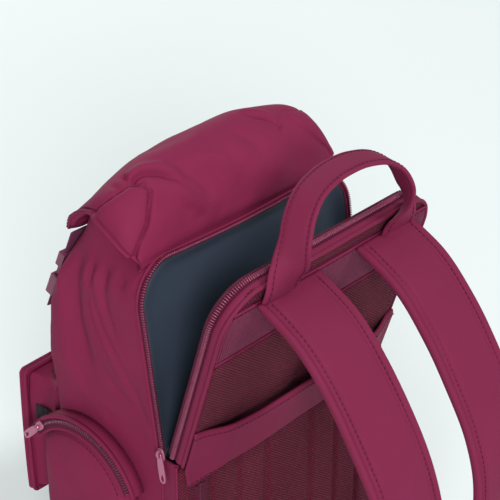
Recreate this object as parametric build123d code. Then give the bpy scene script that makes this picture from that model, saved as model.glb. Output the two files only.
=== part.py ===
"""Hooded travel backpack with a rear-opening laptop compartment, in millimetres.

Frame: origin at the middle of the base's underside, +Z up, the front pocket faces -Y and the
padded back with its shoulder straps faces +Y. "right" is +X, the wearer's right.

The padded back swings open about a line across the bag. Everything on it is drawn in the
panel's own coordinates: x across, w outwards from the bag, s upwards from the hinge line.
"""

import math
import os

from build123d import *

os.makedirs("parts", exist_ok=True)

# ---- driving dimensions -------------------------------------------------------------------
HALF_WIDTH = 132.0          # outside of the side panels
WALL = 6.0                  # padded shell fabric
GAP = 0.3                   # between neighbouring pieces that are sewn in reality
SIDES = {"right": 1, "left": -1}

HINGE_Y = 68.0              # bending line of the back
HINGE_Z = 238.0
LEAN = 8.0                  # degrees the shut panel leans forward
OPEN_TILT = 17.0            # degrees the panel leans back as stored, zips run down
OPEN_TRAVEL = LEAN + OPEN_TILT

SHELL_EDGE_W = -25.2        # rear edge of the side panels, panel coordinates
ZIP_W = -17.0               # middle of the laptop zip
ZIP_GAP = 2.0               # between the two rows of teeth
BODY_ZIP_TOP = 178.0        # height of the zip's top run on the bag
PANEL_ZIP_TOP = 184.0       # and on the panel
ZIP_CORNER = 38.0           # corner radius of the zip
TAPE = 1.5

PAD_FACE_W = 5.0            # outer face of the back padding
PAD_BACK_W = -4.0
SEAM_S = 168.0              # seam that holds the handle and the straps
YOKE_LOW_S = 118.0

BASE_TOP = 4.0
MOUTH_Z = 398.0
RIDGE_Y = -24.0             # bending line of the hood
RIDGE_Z = 474.0
HEM_Z = 402.0
CROWN_FOOT = (18.0, 411.0)
CHEEK_PEAK_Z = 431.0
HOOD_WALL = 11.0
HOOD_CORNER = 40.0
CHEEK_X = 100.0             # where the folded ends of the hood start

FRONT_OUTLINE = [(-70, 4.3), (-80, 30), (-88, 100), (-90, 190), (-89, 270), (-82, 335), (-58, 398)]
CROWN_OUTER = [CROWN_FOOT, (19, 430), (4, 459), (-23.7, RIDGE_Z)]
CROWN_INNER = [(7, 405), (8, 430), (-4, 451), (-23, RIDGE_Z - HOOD_WALL)]
HOOD_OUTER = [(-80, HEM_Z), (-72, 432), (-52, 460), (-24.3, RIDGE_Z)]
HOOD_INNER = [(-70, 396), (-62, 424), (-46, 449), (-23, RIDGE_Z - HOOD_WALL)]

STRAP_X = 61.0
STRAP_WIDTH = 75.0
STRAP_THICK = 10.0
STRAP_LINE = [
    (122, 397), (160, 375), (190, 344), (216, 307), (240, 264),
    (252, 222), (250, 175), (228, 126), (188, 92),
]
WEB_FOOT = (112.0, 82.0, 30.0)   # where the lower webbing is sewn to the bag's corner
WEB_TOP = (70.0, 169.0, 78.8)
WEB_SLOPE = 29.5            # degrees the webbing rises towards the strap
LOCK_AT = (66.0, 181.0, 86.5)
WEB_WIDTH = 20.0
WEB_THICK = 1.8

POCKET_FRONT_Y = -132.0
POCKET_LOW_Z = 113.0
POCKET_TOP_Z = 247.0
POCKET_HALF = 129.0

ARC_Y = -40.0               # centre of the side pocket's arched zip
ARC_Z = 169.0
ARC_R = 66.0
SIDE_POCKET_OUT = 22.0      # how far a side pocket stands out
POCKET_SQUARE = 13.0        # of which with square sides, before it crowns
POCKET_TAPER = 40.0
ARC_ENDS = (27.0, 140.0)    # degrees from the rear end to the front end

BUCKLE_X = 106.0
BUCKLE_Y = -70.0
BUCKLE_Z = 390.0
BUCKLE_SLOPE = 24.0
BUCKLE_TRAVEL = 12.0

# ---- frames and helpers -------------------------------------------------------------------
panel_shut = Pos(0, HINGE_Y, HINGE_Z) * Rot(X=LEAN)
panel_open = Pos(0, HINGE_Y, HINGE_Z) * Rot(X=-OPEN_TILT)


def block(x, y, z):
    """Box from three (low, high) pairs."""
    size = [high - low for low, high in (x, y, z)]
    middle = [(high + low) / 2 for low, high in (x, y, z)]
    return Pos(*middle) * Box(*size)


def mirrored(x, side):
    """(low, high) across the bag on one side, from distances off the middle."""
    return tuple(sorted((side * x[0], side * x[1])))


def from_side(edges, x):
    """Solid between two X planes whose side view is the closed outline of edges drawn in (y, z)."""
    face = make_face([Plane.YZ * edge for edge in edges])
    return Pos(x[0], 0, 0) * extrude(face, x[1] - x[0], dir=(1, 0, 0))


def polygon(points):
    return [Polyline(*points, close=True)]


def arched(half, top, radius, w, s):
    """Slab of an upright outline with two rounded top corners, between two heights."""
    face = Plane.XZ * RectangleRounded(2 * half, 2 * top, radius)
    slab = Pos(0, w[0], 0) * extrude(face, w[1] - w[0], dir=(0, 1, 0))
    return slab & block((-half - 1, half + 1), (w[0] - 1, w[1] + 1), s)


def in_shut_panel(w, s):
    """(y, z) of a point given in the shut panel's coordinates."""
    a = math.radians(LEAN)
    return (
        HINGE_Y + w * math.cos(a) - s * math.sin(a),
        HINGE_Z + w * math.sin(a) + s * math.cos(a),
    )


def save(name, solid):
    export_step(solid, f"parts/{name}.step")


def moved_y(points, shift):
    return [(y + shift, z) for y, z in points]


# ---- base ---------------------------------------------------------------------------------
base_y = (-64.0, 71.0)
base = extrude(RectangleRounded(248, base_y[1] - base_y[0], 22), BASE_TOP)
save("base_panel", Pos(0, sum(base_y) / 2, 0) * base)
board = extrude(RectangleRounded(236, 92, 12), 2.0)
save("base_board", Pos(0, -14, BASE_TOP + GAP) * board)

# ---- front and sides ----------------------------------------------------------------------
front_outer = Spline(*FRONT_OUTLINE)
front_inner = Spline(*moved_y(FRONT_OUTLINE, WALL))
front_edges = [
    front_outer,
    Line(FRONT_OUTLINE[-1], front_inner @ 1),
    front_inner,
    Line(front_inner @ 0, FRONT_OUTLINE[0]),
]
inner_half = HALF_WIDTH - WALL
save("front_panel", from_side(front_edges, (-inner_half + GAP, inner_half - GAP)))

knee = (HINGE_Y + SHELL_EDGE_W, HINGE_Z)
rear_top = in_shut_panel(SHELL_EDGE_W, 166)
side_edges = [
    front_outer,
    Polyline(FRONT_OUTLINE[-1], rear_top, knee, (knee[0], FRONT_OUTLINE[0][1]), FRONT_OUTLINE[0]),
]
for name, side in SIDES.items():
    save(f"side_panel_{name}", from_side(side_edges, mirrored((inner_half, HALF_WIDTH), side)))

# Padded wall between the main and the laptop compartment, bent at the hinge's height.
pad = 5.5
divider_top = in_shut_panel(SHELL_EDGE_W, 164)
divider_points = [
    (knee[0], BASE_TOP + GAP),
    knee,
    divider_top,
    (divider_top[0] - pad, divider_top[1]),
    (knee[0] - pad, HINGE_Z),
    (knee[0] - pad, BASE_TOP + GAP),
]
save("divider_pad", from_side(polygon(divider_points), (-inner_half + GAP, inner_half - GAP)))

# Gathered mouth of the main compartment, under the hood.
collar_out = block((-116, 116), (-51, -3), (388, 424))
collar_in = block((-113.5, 113.5), (-48.5, -5.5), (380, 430))
save("mouth_collar", collar_out - collar_in)

# ---- rear, below the hinge ----------------------------------------------------------------
pad_y = (HINGE_Y + PAD_BACK_W, HINGE_Y + PAD_FACE_W)
save("lower_back_pad", block((-HALF_WIDTH, HALF_WIDTH), pad_y, (BASE_TOP + GAP, HINGE_Z - 2)))
for name, side in SIDES.items():
    strip = block(
        mirrored((HALF_WIDTH - 3, HALF_WIDTH), side),
        (knee[0] + GAP, pad_y[0] - GAP),
        (BASE_TOP + GAP, HINGE_Z - 2),
    )
    save(f"zip_gusset_{name}", strip)
save("back_pocket_zip", block((109, 118), (pad_y[1] + GAP, pad_y[1] + 1.6), (60, 216)))

for name, side in SIDES.items():
    wing = [(side * 84, 12), (side * 131, 12), (side * 131, 62)]
    face = make_face(Plane.XZ * Polyline(*wing, close=True))
    plate = extrude(face, 2.2, dir=(0, 1, 0))
    save(f"corner_wing_{name}", Pos(0, pad_y[1] + GAP, 0) * plate)

# ---- laptop zip, one tape on the bag and one on the panel ---------------------------------


def zip_tape(top, w, tooth_w):
    """Tape that runs up, round and down the opening, thicker where its teeth are."""
    outer = arched(HALF_WIDTH, top, ZIP_CORNER, w, (2, top + 1))
    inner = arched(HALF_WIDTH - TAPE, top - TAPE, ZIP_CORNER - TAPE, (w[0] - 1, w[1] + 1), (0, top))
    tape = outer - inner
    teeth_outer = arched(HALF_WIDTH + 0.8, top + 0.8, ZIP_CORNER + 0.8, tooth_w, (2, top + 2))
    teeth_inner = arched(
        HALF_WIDTH - TAPE - 0.8, top - TAPE - 0.8, ZIP_CORNER - TAPE - 0.8,
        (tooth_w[0] - 1, tooth_w[1] + 1), (0, top),
    )
    return tape + (teeth_outer - teeth_inner)


half_gap = ZIP_GAP / 2
body_tape = zip_tape(BODY_ZIP_TOP, (SHELL_EDGE_W + GAP, ZIP_W - half_gap), (ZIP_W - 3.5, ZIP_W - half_gap))
save("laptop_zip_tape_bag", panel_shut * body_tape)
panel_tape = zip_tape(PANEL_ZIP_TOP, (ZIP_W + half_gap, PAD_BACK_W - GAP), (ZIP_W + half_gap, ZIP_W + 3.5))
save("laptop_zip_tape_panel", panel_open * panel_tape)

SLIDER_S = 9.0              # middle of the slider at rest
SLIDER_LONG = 11.0
SLIDER_WIDE = 8.4


def pull_tab(long=27.0):
    """Zip pull that hangs in the (y, z) plane from a pivot at the origin, inside its top bar."""
    wide, thick, bar = 8.0, 1.8, 1.3
    eye_long, slot_long = 4.4, 6.5
    outline = Pos(0, bar / 2 - long / 2) * RectangleRounded(wide, long, 2.4)
    eye = Pos(0, -bar / 2 - eye_long / 2) * Rectangle(4.4, eye_long)
    slot = Pos(0, bar / 2 - long + slot_long) * RectangleRounded(3.6, slot_long, 1.7)
    return Pos(-thick / 2, 0, 0) * extrude(Plane.YZ * (outline - eye - slot), thick)


def slider_body(inner=True):
    """Zip slider on a tape whose outer face is at x = 0: plate and pull loop, and on an open
    zip also the bridge between the two rows of teeth and the plate behind them."""
    wide = (-SLIDER_WIDE / 2, SLIDER_WIDE / 2)
    long = (-SLIDER_LONG / 2, SLIDER_LONG / 2)
    loop = (-1.5, 1.5)
    body = block((1.1, 2.6), wide, long)
    body += block((2.6, 6.4), loop, (2.7, 4.2))
    body += block((2.6, 6.4), loop, (-2.0, -0.5))
    body += block((5.4, 6.4), loop, (-2.0, 4.2))
    if inner:
        body += block((-4.0, 1.2), (-0.55, 0.55), (-2.5, 2.5))
        body += block((-4.4, -2.8), wide, long)
    return body


# The pull's top bar turns inside the slider's loop, about this place on the slider.
PULL_PIVOT = (4.0, 0.0, 1.1)
for name, side in SIDES.items():
    flip = Rot(Z=0 if side > 0 else 180)
    place = panel_shut * Pos(side * HALF_WIDTH, ZIP_W, SLIDER_S)
    save(f"laptop_slider_{name}", place * flip * slider_body())
    save(f"laptop_pull_{name}", place * flip * Pos(*PULL_PIVOT) * pull_tab())

# ---- hood: the crown stays on the bag, the flap bends up from the ridge -------------------
cap = extrude(Plane.XZ * RectangleRounded(2 * HALF_WIDTH, 400, HOOD_CORNER), 300, dir=(0, 1, 0))
cap = Pos(0, -150, RIDGE_Z - 200) * cap
core_half = HALF_WIDTH - HOOD_WALL
core_face = RectangleRounded(2 * core_half, 400, HOOD_CORNER - HOOD_WALL)
core = Pos(0, -150, RIDGE_Z - HOOD_WALL - 200) * extrude(Plane.XZ * core_face, 300, dir=(0, 1, 0))


def hood_half(outer_points, inner_points):
    """Half of the hood, hollowed. Both curves run from the foot of the half to the ridge."""
    outer = Spline(*outer_points)
    peak = (outer_points[-1][0], CHEEK_PEAK_Z)
    solid = from_side([outer, Polyline(outer @ 1, peak, outer @ 0)], (-HALF_WIDTH, HALF_WIDTH)) & cap
    inner = Spline(*inner_points)
    foot, top = inner @ 0, inner @ 1
    past_y = RIDGE_Y - 5 if foot.X > RIDGE_Y else RIDGE_Y + 5
    floor_z = foot.Y - 30
    below = Polyline(foot, (foot.X, floor_z), (past_y, floor_z), (past_y, top.Y), top)
    return solid - (from_side([inner, below], (-core_half, core_half)) & core)


crown = hood_half(CROWN_OUTER, CROWN_INNER)
flap = hood_half(HOOD_OUTER, HOOD_INNER)
tall = (300, 500)
deep = (-200, 100)
save("crown_panel", crown & block((-CHEEK_X, CHEEK_X), deep, tall))
save("hood_panel", flap & block((-CHEEK_X, CHEEK_X), deep, tall))
for name, side in SIDES.items():
    cut = block(mirrored((CHEEK_X, HALF_WIDTH + 1), side), deep, tall)
    save(f"crown_cheek_{name}", crown & cut)
    save(f"hood_cheek_{name}", flap & cut)
save("hood_hem", block((-118, 118), (-79.5, -71.5), (393, HEM_Z - 0.6)))

# ---- back panel ---------------------------------------------------------------------------
pad_half = HALF_WIDTH - 0.5
board_half = HALF_WIDTH - TAPE - 1.0
corner = ZIP_CORNER - 1.0
board_top = PANEL_ZIP_TOP - TAPE - 1.0
mesh_pad = arched(pad_half, PANEL_ZIP_TOP, corner, (PAD_BACK_W, PAD_FACE_W), (2.0, YOKE_LOW_S - GAP))
save("upper_back_pad", panel_open * mesh_pad)
yoke = arched(pad_half, PANEL_ZIP_TOP, corner, (PAD_BACK_W, PAD_FACE_W - 2), (YOKE_LOW_S, SEAM_S - GAP))
save("knit_yoke", panel_open * yoke)
strip = arched(pad_half, PANEL_ZIP_TOP, corner, (PAD_BACK_W, PAD_FACE_W - 4), (SEAM_S, PANEL_ZIP_TOP))
save("top_binding", panel_open * strip)
layers = {
    "back_board": (PAD_BACK_W - 2, PAD_BACK_W - GAP),
    "back_lining": (PAD_BACK_W - 5, PAD_BACK_W - 2 - GAP),
}
for name, depth in layers.items():
    layer = arched(board_half - 1, board_top - 1, corner - 3, depth, (3.0, board_top))
    save(name, panel_open * layer)

# Luggage band: sewn at both sides, bowed out to let a case's handle through.
BAND_S = (-6.0, 44.0)
BAND_IN_W = 20.0
BAND_END_W = 8.2
band_half = HALF_WIDTH - 1
band_thick = 2.0
band_points = [
    (-band_half, BAND_END_W), (-117, BAND_END_W), (-103, BAND_IN_W), (103, BAND_IN_W),
    (117, BAND_END_W), (band_half, BAND_END_W), (band_half, BAND_END_W + band_thick),
    (118, BAND_END_W + band_thick), (104, BAND_IN_W + band_thick), (-104, BAND_IN_W + band_thick),
    (-118, BAND_END_W + band_thick), (-band_half, BAND_END_W + band_thick),
]
band_face = make_face(Polyline(*band_points, close=True))
band = Pos(0, 0, BAND_S[0]) * extrude(band_face, BAND_S[1] - BAND_S[0], dir=(0, 0, 1))
for side in SIDES.values():
    foot = block(mirrored((118, band_half), side), (PAD_FACE_W + 0.1, BAND_END_W), (4.0, BAND_S[1]))
    band += foot
save("luggage_band", panel_open * band)

# ---- carry handle -------------------------------------------------------------------------
HANDLE_W = PAD_FACE_W + 3.0
HANDLE_S = SEAM_S + 6.0
HANDLE_LEAN = 10.0
handle_frame = panel_open * Pos(0, HANDLE_W, HANDLE_S) * Rot(X=HANDLE_LEAN)
arch_out = RectangleRounded(152, 160, 46)
arch_in = RectangleRounded(140, 148, 40)
arch = extrude(Plane.XZ * (arch_out - arch_in), 26, dir=(0, 1, 0))
arch = Pos(0, -13, 0) * arch & block((-90, 90), (-20, 20), (30, 90))
for side in SIDES.values():
    arch += block(mirrored((52, 95), side), (-1.6, 1.6), (0.5, 38))
save("carry_handle", handle_frame * arch)

# ---- shoulder straps ----------------------------------------------------------------------


def strap_band(thick):
    """Strap's side view: the line of the strap, given thickness."""
    line = Spline(*STRAP_LINE)
    steps = 14
    outer, inner = [], []
    for i in range(steps + 1):
        at = line @ (i / steps)
        along = line % (i / steps)
        outer.append((at.X - along.Y * thick / 2, at.Y + along.X * thick / 2))
        inner.append((at.X + along.Y * thick / 2, at.Y - along.X * thick / 2))
    top, bottom = Spline(*outer), Spline(*inner)
    return [top, Line(top @ 1, bottom @ 1), bottom, Line(bottom @ 0, top @ 0)]


for name, side in SIDES.items():
    across = mirrored((STRAP_X - STRAP_WIDTH / 2, STRAP_X + STRAP_WIDTH / 2), side)
    save(f"shoulder_strap_{name}", from_side(strap_band(STRAP_THICK), across))

    # Ladder lock: a frame with two bars, on a tab at the strap's lower end.
    lock = Pos(side * LOCK_AT[0], LOCK_AT[1], LOCK_AT[2]) * Rot(X=WEB_SLOPE)
    frame = block((-16, 16), (-9, 5), (-2.5, 2.5))
    frame -= block((-12, 12), (-6.5, -3.0), (-4, 4))
    frame -= block((-12, 12), (-0.6, 2.6), (-4, 4))
    save(f"ladder_lock_{name}", lock * frame)

    foot = Vector(side * WEB_FOOT[0], WEB_FOOT[1], WEB_FOOT[2])
    top = Vector(side * WEB_TOP[0], WEB_TOP[1], WEB_TOP[2])
    run = top - foot
    plane = Plane(origin=foot, x_dir=Vector(run.Y, -run.X, 0), z_dir=run)
    web = extrude(plane * Rectangle(WEB_WIDTH, WEB_THICK), run.length)
    save(f"strap_webbing_{name}", web)

# ---- front pocket -------------------------------------------------------------------------
POCKET_PANEL = 7.0
pocket_back = -91.0
body_y = (POCKET_FRONT_Y + POCKET_PANEL + GAP, pocket_back)
save(
    "front_pocket",
    block((-POCKET_HALF + 8, POCKET_HALF - 8), body_y, (POCKET_LOW_Z + 6, POCKET_TOP_Z - 6)),
)
lid = extrude(
    Plane.XZ * RectangleRounded(2 * POCKET_HALF, POCKET_TOP_Z - POCKET_LOW_Z, 10),
    POCKET_PANEL, dir=(0, 1, 0),
)
save("front_pocket_panel", Pos(0, POCKET_FRONT_Y, (POCKET_TOP_Z + POCKET_LOW_Z) / 2) * lid)
elastic_z = (190, 212)
elastic = [
    block(mirrored((POCKET_HALF - 8 + GAP, POCKET_HALF - 6), side), (body_y[0], body_y[1]), elastic_z)
    for side in SIDES.values()
]
save("pocket_elastics", Compound(elastic))
front_tape_y = -106.0
tape_z = (POCKET_TOP_Z - 5.7, POCKET_TOP_Z - 4.2)
save("front_zip_tape", block((-108, 108), (front_tape_y - 6, front_tape_y + 6), tape_z))
front_slide = Pos(100, front_tape_y, POCKET_TOP_Z - 4.2) * Rot(Z=180) * Rot(Y=-90)
save("front_slider", front_slide * slider_body(inner=False))
save("front_pull", front_slide * Pos(*PULL_PIVOT) * pull_tab(24))

# ---- side pockets -------------------------------------------------------------------------


def arc_point(degrees, radius=ARC_R):
    a = math.radians(degrees)
    return (ARC_Y + radius * math.cos(a), ARC_Z + radius * math.sin(a))


def arc_band(radius, half):
    """Ring sector that follows the arched zip."""
    outer = ThreePointArc(*[arc_point(a, radius + half) for a in arc_angles])
    inner = ThreePointArc(*[arc_point(a, radius - half) for a in arc_angles])
    return [outer, Line(outer @ 1, inner @ 1), inner, Line(inner @ 0, outer @ 0)]


arc_angles = (ARC_ENDS[0], sum(ARC_ENDS) / 2, ARC_ENDS[1])
over = ThreePointArc(*[arc_point(a, ARC_R - 6.4) for a in arc_angles])
pocket_edges = [over, Polyline(over @ 1, (-86, 150), (-80, 34), (29, 34), (27, 150), over @ 0)]
zip_face = HALF_WIDTH + 14
for name, side in SIDES.items():
    low_x = HALF_WIDTH + GAP
    bag = from_side(pocket_edges, mirrored((low_x, low_x + POCKET_SQUARE), side))
    outline = make_face([Plane.YZ * edge for edge in pocket_edges])
    face = Pos(side * (low_x + POCKET_SQUARE), 0, 0) * outline
    crown_out = extrude(face, SIDE_POCKET_OUT - POCKET_SQUARE, dir=(side, 0, 0), taper=POCKET_TAPER)
    save(f"side_pocket_{name}", bag + crown_out)
    band = from_side(arc_band(ARC_R, 6), mirrored((HALF_WIDTH + GAP, zip_face), side))
    save(f"side_zip_{name}", band)
    there = Pos(side * zip_face, *arc_point(ARC_ENDS[1] - 6)) * Rot(X=ARC_ENDS[1] - 6)
    flip = Rot(Z=0 if side > 0 else 180)
    save(f"side_slider_{name}", there * flip * slider_body(inner=False))
    save(f"side_pull_{name}", there * flip * Pos(*PULL_PIVOT) * Rot(X=180) * pull_tab(24))

# ---- side-release buckles -----------------------------------------------------------------
upper_webs, tails = [], []
for name, side in SIDES.items():
    line = Pos(side * BUCKLE_X, BUCKLE_Y, BUCKLE_Z) * Rot(X=-BUCKLE_SLOPE)
    upper_webs.append(line * block((-10, 10), (-0.9, 0.9), (-11, 12)))
    tongue = block((-13, 13), (-3.4, 3.4), (-26, -11.3))
    for x in ((-10.5, -7.5), (-1.2, 1.2), (7.5, 10.5)):
        tongue += block(x, (-1.6, 1.6), (-26 - BUCKLE_TRAVEL, -25.9))
    save(f"buckle_tongue_{name}", line * tongue)
    socket_top = -26 - BUCKLE_TRAVEL - 0.6
    socket = block((-13.5, 13.5), (-4, 4), (socket_top - 22, socket_top))
    socket -= block((-11.4, 11.4), (-2.4, 2.4), (socket_top - 15, socket_top + 1))
    save(f"buckle_socket_{name}", line * socket)
    tail = block((-10, 10), (-0.9, 0.9), (socket_top - 40, socket_top - 22.3))
    tails.append(line * tail)
save("hood_webbing", Compound(upper_webs))
save("front_webbing", Compound(tails))
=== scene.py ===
"""Looks of a hooded travel backpack with a rear-opening laptop compartment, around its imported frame.

Frame: metres, origin at the middle of the base's underside, +Z up, front pocket towards -Y, padded
back towards +Y, the wearer's right is +X. Shapes are worked out in millimetres and scaled once.
"""

import bpy
import numpy as np
from bpy.props import FloatProperty, PointerProperty, StringProperty
from mathutils import Matrix, Vector


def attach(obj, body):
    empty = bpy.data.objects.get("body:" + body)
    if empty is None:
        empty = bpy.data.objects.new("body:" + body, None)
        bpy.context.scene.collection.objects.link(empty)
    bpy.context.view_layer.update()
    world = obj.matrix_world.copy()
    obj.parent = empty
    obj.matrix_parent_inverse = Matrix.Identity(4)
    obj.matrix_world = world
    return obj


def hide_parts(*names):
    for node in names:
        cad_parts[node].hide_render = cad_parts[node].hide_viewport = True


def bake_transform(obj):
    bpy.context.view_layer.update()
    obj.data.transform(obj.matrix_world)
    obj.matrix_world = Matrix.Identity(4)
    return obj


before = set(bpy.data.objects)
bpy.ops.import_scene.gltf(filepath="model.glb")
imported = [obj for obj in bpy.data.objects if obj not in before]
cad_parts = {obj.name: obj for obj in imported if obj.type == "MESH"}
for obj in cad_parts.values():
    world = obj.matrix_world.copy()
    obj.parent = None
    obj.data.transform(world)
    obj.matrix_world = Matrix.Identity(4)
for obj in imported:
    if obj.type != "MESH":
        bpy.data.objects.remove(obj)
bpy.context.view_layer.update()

bl_info = {
    "name": "Hooded travel backpack",
    "version": (1, 0, 0),
    "blender": (4, 5, 0),
    "location": "View3D > Sidebar > Backpack",
    "description": "Sews the fabric, zips, straps and fittings of a travel backpack onto its frame",
    "category": "Add Mesh",
}

MM = 0.001
SIDES = {"right": 1, "left": -1}
HINGE_Y, HINGE_Z = 68.0, 238.0
LEAN, TILT = np.radians(8.0), np.radians(17.0)
STITCH_GAP, STITCH_WIDE, STITCH_HIGH = 1.3, 0.75, 0.7
COIL_THICK = 1.25
WEBBING_WIDE, WEBBING_THICK, TAPE_THICK = 20.0, 1.9, 1.6


# ---- settings ---------------------------------------------------------------------------------
def colour_setting(name, what, default):
    """Colour setting."""
    return StringProperty(name=name, description=f"Colour of the {what}, sRGB hex", default=default)


def length_setting(name, what, default):
    """Length setting, in metres."""
    return FloatProperty(name=name, description=what, default=default, unit="LENGTH")


class FabricSettings(bpy.types.PropertyGroup):
    """Colours and threads of the cloths."""

    shell: colour_setting("Shell", "puffed shell fabric", "7f2245")
    strap: colour_setting("Straps", "strap and handle fabric", "782142")
    knit: colour_setting("Knit", "ribbed knit yoke", "7a2449")
    mesh: colour_setting("Mesh", "spacer mesh ground", "42111f")
    mesh_light: colour_setting("Mesh threads", "spacer mesh threads", "88304a")
    binding: colour_setting("Binding", "ribbon binding", "5f2438")
    lining: colour_setting("Lining", "brushed lining", "343c4a")
    tape: colour_setting("Zip tape", "zip tapes", "661f3c")
    webbing: colour_setting("Webbing", "webbing", "83385a")
    elastic: colour_setting("Elastic", "knitted elastic", "3a3034")
    thread: length_setting("Thread", "Spacing of the shell's threads", 0.0009)
    rib: length_setting("Knit rib", "Spacing of the knit's ribs", 0.0024)


class FittingSettings(bpy.types.PropertyGroup):
    """Colours and sizes of zips and plastics."""

    plastic: colour_setting("Plastic", "moulded buckles", "6e314b")
    metal: colour_setting("Zip pulls", "lacquered pulls", "a85a79")
    coil: colour_setting("Coil", "zip coils", "7e3250")
    pitch: length_setting("Coil pitch", "Spacing of the coil's turns", 0.0022)
    stitch: length_setting("Stitch", "Length of one stitch", 0.0032)


class StageSettings(bpy.types.PropertyGroup):
    """Camera, floor and lights."""

    azimuth: FloatProperty(name="Azimuth", description="Camera direction about Z", default=131.5)
    elevation: FloatProperty(name="Elevation", description="Camera height angle", default=28.5)
    distance: length_setting("Distance", "Camera distance", 1.264)
    lens: FloatProperty(name="Lens", description="Focal length in millimetres", default=108.0)
    floor: colour_setting("Floor", "floor and backdrop", "dfe4e4")


# ---- curves and surfaces ----------------------------------------------------------------------
def spots(x, y, z):
    """Points from three coordinates, each a number or an array."""
    return np.stack(np.broadcast_arrays(np.asarray(x, float), y, z), -1)


def held(v):
    """Values kept between 0 and 1."""
    return np.clip(v, 0, 1)


def eased(v):
    """Values kept between 0 and 1 that leave and arrive gently."""
    v = held(v)
    return v * v * (3 - 2 * v)


def bell(gap, width):
    """1 at no distance, fading away over about the width."""
    return np.exp(-((gap / width) ** 2))


def unit(v):
    """Vectors along the last axis divided by their length."""
    return v / np.maximum(np.linalg.norm(v, axis=-1, keepdims=True), 1e-9)


def resample(points, count):
    """Points at equal arc length along a polyline."""
    steps = np.linalg.norm(np.diff(points, axis=0), axis=1)
    run = np.concatenate([[0.0], np.cumsum(steps)])
    at = np.linspace(0.0, run[-1], count)
    return np.stack([np.interp(at, run, points[:, k]) for k in range(points.shape[1])], 1)


def curve(points, count):
    """Cubic through the points: each span is the Catmull-Rom blend of its four neighbours."""
    p = np.asarray(points, float)
    p = np.vstack([2 * p[0] - p[1], p, 2 * p[-1] - p[-2]])
    t = np.linspace(0.0, len(p) - 3, 40 * len(p))
    i = np.minimum(t.astype(int), len(p) - 4)
    f = (t - i)[:, None]
    a, b, c, d = (p[i + k] for k in range(4))
    q = 0.5 * (2 * b + (c - a) * f + (2 * a - 5 * b + 4 * c - d) * f**2 + (3 * b - a - 3 * c + d) * f**3)
    return resample(q, count)


def shut(x, w, s):
    """Place in the shut back's coordinates: w outwards, s up from the hinge, leaning forward."""
    y = HINGE_Y + w * np.cos(LEAN) - s * np.sin(LEAN)
    return spots(x, y, HINGE_Z + w * np.sin(LEAN) + s * np.cos(LEAN))


def opened(x, w, s):
    """Place in the open panel's coordinates: w outwards, s up from the hinge, leaning back."""
    y = HINGE_Y + w * np.cos(TILT) + s * np.sin(TILT)
    return spots(x, y, HINGE_Z - w * np.sin(TILT) + s * np.cos(TILT))


SHUT_OUT, SHUT_UP = shut(0, 1, 0) - shut(0, 0, 0), shut(0, 0, 1) - shut(0, 0, 0)
OPEN_OUT, OPEN_UP = opened(0, 1, 0) - opened(0, 0, 0), opened(0, 0, 1) - opened(0, 0, 0)


def arch_path(half, top, radius, low, count):
    """(x, s) up one side, round a corner, across and down, at equal steps."""
    a = np.linspace(0.0, np.pi / 2, 40)
    right = np.stack([half - radius + radius * np.cos(a), top - radius + radius * np.sin(a)], 1)
    left = right[::-1] * (-1, 1)
    return resample(np.vstack([[half, low], right, left, [-half, low]]), count)


def half_at(s, half, top, radius):
    """Half width of an arched outline at height s: straight, then a quarter circle."""
    over = np.clip(s - (top - radius), 0.0, radius)
    return half - radius + np.sqrt(radius**2 - over**2)


def carried(path, up, profile):
    """A profile carried along a path: each profile point is so far across and so far up from the
    path, where across is the tangent turned to be square to up."""
    tangent = unit(np.gradient(path, axis=0))
    up = np.broadcast_to(np.asarray(up, float), path.shape)
    across = unit(np.cross(tangent, up))
    rise = np.cross(across, tangent)
    profile = np.broadcast_to(profile, (len(path),) + np.shape(profile)[-2:])
    return path[:, None] + profile[..., :1] * across[:, None] + profile[..., 1:] * rise[:, None]


def edge_normals(path, across, middle):
    """Directions square to a path and to another direction, pointing away from a middle."""
    normal = unit(np.cross(np.gradient(path, axis=0), across))
    return np.where(((path - middle) * normal).sum(1, keepdims=True) > 0, normal, -normal)


def stadium(width, thick, count=24, power=2.6):
    """Closed flat oval: a superellipse in which the ends are rounder than the faces."""
    a = np.linspace(0, 2 * np.pi, count, endpoint=False)
    c, s = np.cos(a), np.sin(a)
    x = np.sign(c) * np.abs(c) ** (2 / (power * 2.2)) * width / 2
    return np.stack([x, np.sign(s) * np.abs(s) ** (2 / power) * thick / 2], 1)


def ring(radius, count=12):
    """Closed circle."""
    a = np.linspace(0, 2 * np.pi, count, endpoint=False)
    return np.stack([radius * np.cos(a), radius * np.sin(a)], 1)


def normals(grid):
    """Unit normals of a grid, from the cross product of its two directions."""
    return unit(np.cross(np.gradient(grid, axis=0), np.gradient(grid, axis=1)))


def ripple(grid, size, seed):
    """Smooth bumps between -1 and 1 about so many millimetres wide: a sum of eight plane waves."""
    rng = np.random.default_rng(seed)
    waves = unit(rng.normal(size=(8, 3))) * 2 * np.pi / (size * rng.uniform(0.7, 1.5, (8, 1)))
    phase = rng.uniform(0, 2 * np.pi, 8)
    return np.sin(grid @ waves.T + phase).sum(-1) / 4


def along(grid, line):
    """Distance of each grid point from a polyline, and how far along it the nearest place is."""
    line = np.asarray(line, float)
    flat = grid.reshape(-1, 3)
    best = np.full(len(flat), 1e9)
    share = np.zeros(len(flat))
    for k, (a, b) in enumerate(zip(line[:-1], line[1:])):
        d = b - a
        t = held(((flat - a) @ d) / (d @ d))
        gap = np.linalg.norm(flat - a - t[:, None] * d, axis=1)
        near = gap < best
        best = np.where(near, gap, best)
        share = np.where(near, (k + t) / (len(line) - 1), share)
    return best.reshape(grid.shape[:2]), share.reshape(grid.shape[:2])


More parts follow.
